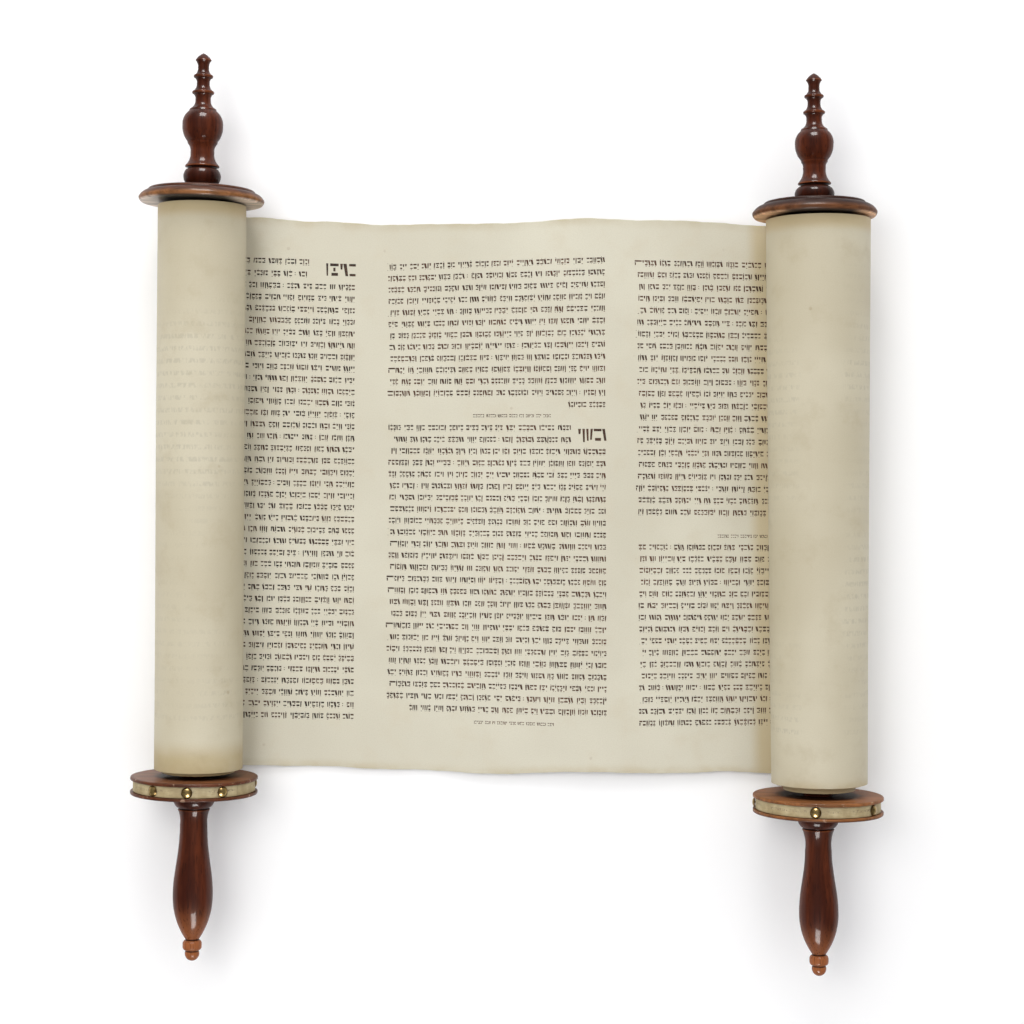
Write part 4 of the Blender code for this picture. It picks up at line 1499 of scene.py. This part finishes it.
def build_sheet(strip):
    """The open sheet with its strokes. Returns the seam numbers under each roll, by side and face."""
    half = parchment_height / 2.0
    seam_up = line_points(-half, half, seam_step)
    left_end = round(-under_width["left"], 8)
    right_end = round(open_width + under_width["right"], 8)
    columns = text_columns()
    blank = [(None, None, [])]
    regions = [(left_end, columns[0][0], blank), *columns, (columns[-1][1], right_end, blank)]
    flat, numbers, triangles = written_side(regions, seam_levels(regions, seam_up))
    over_first = add_side(strip, flat, 1)
    for face, kind in triangles:
        strip.face([over_first + i for i in face], kind)

    # The underside has a grid of its own inside the same border.
    edge = [x for start, end, _ in regions for x in line_points(start, end, grid_step)[:-1]] + [right_end]
    border = [(x, -half) for x in edge] + [(right_end, y) for y in seam_up[1:-1]]
    border += [(x, half) for x in reversed(edge)] + [(left_end, y) for y in reversed(seam_up[1:-1])]
    inner = []
    for y in line_points(-half, half, under_grid_step)[1:-1]:
        inner += [(x, y) for x in line_points(left_end, right_end, under_grid_step)[1:-1]]
    corners, faces, _ = cell_triangles(border, [], inner)
    under_first = add_side(strip, np.array(corners), -1)
    for face in faces:
        strip.face([under_first + i for i in reversed(face)])
    under_numbers = {key(x, y): i for i, (x, y) in enumerate(corners)}

    def over(x, up):
        return over_first + numbers[key(x, edge_level(x, up))]

    def under(x, up):
        return under_first + under_numbers[key(x, up)]

    for y, starts, ends in ((-half, edge, edge[1:]), (half, edge[1:], edge)):
        for a, b in zip(starts, ends):
            strip.face((under(a, y), under(b, y), over(b, y), over(a, y)), cut_face)
    return {
        roller.name: ([over(at, y) for y in seam_up], [under(at, y) for y in seam_up], seam_up)
        for roller, at in ((left, left_end), (right, right_end))
    }


def build_roll(strip, roller, seam):
    """The wound part of the strip, from the seam under the roll to the inner end."""
    over, under, seam_up = seam
    fine = round(fine_turns * fine_turn_steps)
    turns = [i / fine_turn_steps for i in range(1, fine + 1)]
    rest = turn_count(roller) - fine_turns
    steps = round(rest * inner_turn_steps)
    turns += [fine_turns + rest * i / steps for i in range(1, steps + 1)]
    flip = roller is left

    def add_face(corners, kind=written_face, back=False):
        strip.face(corners[::-1] if flip != back else corners, kind)

    previous = (over, under)
    shares = np.array([y / parchment_height + 0.5 for y in seam_up])
    for step, turn in enumerate(turns):
        ups = shares if step < fine else np.array([0.0, 1.0])
        spread = np.full(len(ups), turn)
        places = wound(roller, spread, ups)
        normals = wound_normal(roller, spread, ups)
        reach = under_width[roller.name] + wound_length(roller, turn)
        along = np.full(len(ups), -reach if flip else open_width + reach)
        strips = np.column_stack([along, (ups - 0.5) * parchment_height, np.zeros(len(ups))])
        here = []
        for facing, verso in ((normals, 0.0), (-normals, 1.0)):
            first = strip.add(places + facing * parchment_thickness / 2.0, facing, strips, verso)
            here.append([first + i for i in range(len(ups))])
        for back in (False, True):
            before, now = previous[back], here[back]
            if len(before) == len(now):
                for j in range(len(now) - 1):
                    add_face((before[j], now[j], now[j + 1], before[j + 1]), back=back)
                continue
            half_way = len(before) // 2
            for j in range(len(before) - 1):
                add_face((before[j], now[0] if j < half_way else now[1], before[j + 1]), back=back)
            add_face((before[half_way], now[0], now[1]), back=back)
        (over_before, under_before), (over_now, under_now) = previous, here
        add_face((under_before[0], under_now[0], over_now[0], over_before[0]), cut_face)
        add_face((over_before[-1], over_now[-1], under_now[-1], under_before[-1]), cut_face)
        previous = here
    over_last, under_last = previous
    add_face((over_last[0], under_last[0], under_last[-1], over_last[-1]), cut_face)


def build_parchment():
    """The whole strip: the open sheet, and a roll at each end."""
    measure_sheet()
    strip = StripMesh()
    seams = build_sheet(strip)
    for roller in rollers:
        build_roll(strip, roller, seams[roller.name])
    mesh = bpy.data.meshes.new("parchment_strip")
    mesh.from_pydata(strip.places, [], strip.faces)
    kinds = np.array(strip.kinds)
    mesh.polygons.foreach_set("material_index", (kinds == ink_face).astype(np.int32))
    add_values(mesh, "strip", strip.strips)
    add_values(mesh, "verso", strip.verso)
    mesh.shade_smooth()
    corner_vertex = np.zeros(len(mesh.loops), np.int32)
    mesh.loops.foreach_get("vertex_index", corner_vertex)
    normals = np.array(strip.normals)[corner_vertex]
    flat = np.zeros(len(mesh.polygons) * 3)
    mesh.polygons.foreach_get("normal", flat)
    flat = flat.reshape(-1, 3)
    counts = np.zeros(len(mesh.polygons), np.int32)
    mesh.polygons.foreach_get("loop_total", counts)
    owner = np.repeat(np.arange(len(counts)), counts)
    cut_edge = kinds[owner] == cut_face
    normals[cut_edge] = flat[owner][cut_edge]
    mesh.normals_split_custom_set(normals.tolist())
    piece = new_object("parchment_strip", mesh)
    dress(piece, "parchment", "parchment", parchment(), ink())


# The photographer's table

def build_stage():
    """A plain pale floor, soft light and the camera straight above."""
    mesh = bpy.data.meshes.new("floor")
    reach = 7.0
    mesh.from_pydata([(-reach, -reach, 0.0), (reach, -reach, 0.0), (reach, reach, 0.0), (-reach, reach, 0.0)],
                     [], [(0, 1, 2, 3)])
    floor = new_object("floor", mesh)
    look = Look("pale_floor", Roughness=0.9)
    grain = look.noise(look.own_place(), 40.0, 2.0)
    mesh.materials.append(look.paint(look.mix(grain, (0.972, 0.972, 0.975), (0.980, 0.980, 0.983))))

    world = bpy.data.worlds.new("studio")
    scene.world = world
    world.use_nodes = True
    sky = Nodes(world.node_tree)
    upwards = sky.part(sky.node("ShaderNodeTexCoord", {}, "Generated"), "Y")
    strengths = {"To Min": room_light * (1.0 - room_slope), "To Max": room_light * (1.0 + room_slope)}
    slope = sky.node("ShaderNodeMapRange", {"Value": upwards, "From Min": -1.0, **strengths})
    glossy = sky.node("ShaderNodeLightPath", {}, "Is Glossy Ray")
    background = world.node_tree.nodes["Background"]
    background.inputs["Color"].default_value = (0.985, 0.985, 1.0, 1.0)
    sky.put(background.inputs["Strength"], sky.node("ShaderNodeMix", {0: glossy, 2: slope, 3: room_gloss}))

    # Each light is a square: its place, size and power, its colour, and whether gloss and matt show it.
    lights = (
        ("key", (-0.62, 0.30, 1.80), 0.9, 10.5, (1.0, 0.985, 0.955), False, True),
        ("top_box", (-0.10, 3.00, 1.70), 1.0, 23.0, (1.0, 0.99, 0.97), False, True),
        ("top_gloss", (0.0, 3.00, 1.60), 1.5, 250.0, (1.0, 0.99, 0.97), True, False),
        ("foot_gloss", (0.0, -1.25, 0.95), 0.6, 34.0, (1.0, 0.99, 0.97), True, False),
    )
    for name, place, size, power, colour, in_gloss, on_matt in lights:
        data = bpy.data.lights.new(name, "AREA")
        data.shape = "SQUARE"
        data.size = size
        data.energy = power
        data.color = colour
        light = new_object(name, data)
        light.location = place
        light.rotation_euler = (-Vector(place)).to_track_quat("-Z", "Y").to_euler()
        light.visible_glossy = in_gloss
        light.visible_diffuse = on_matt

    camera = bpy.data.cameras.new("camera")
    camera.lens = camera_lens
    camera.sensor_width = sensor_width
    camera.shift_y = camera_shift_rows / picture_size
    holder = new_object("camera", camera)
    holder.location = camera_place
    scene.camera = holder
    scene.view_settings.view_transform = "Standard"


build_rollers()
build_parchment()
build_stage()
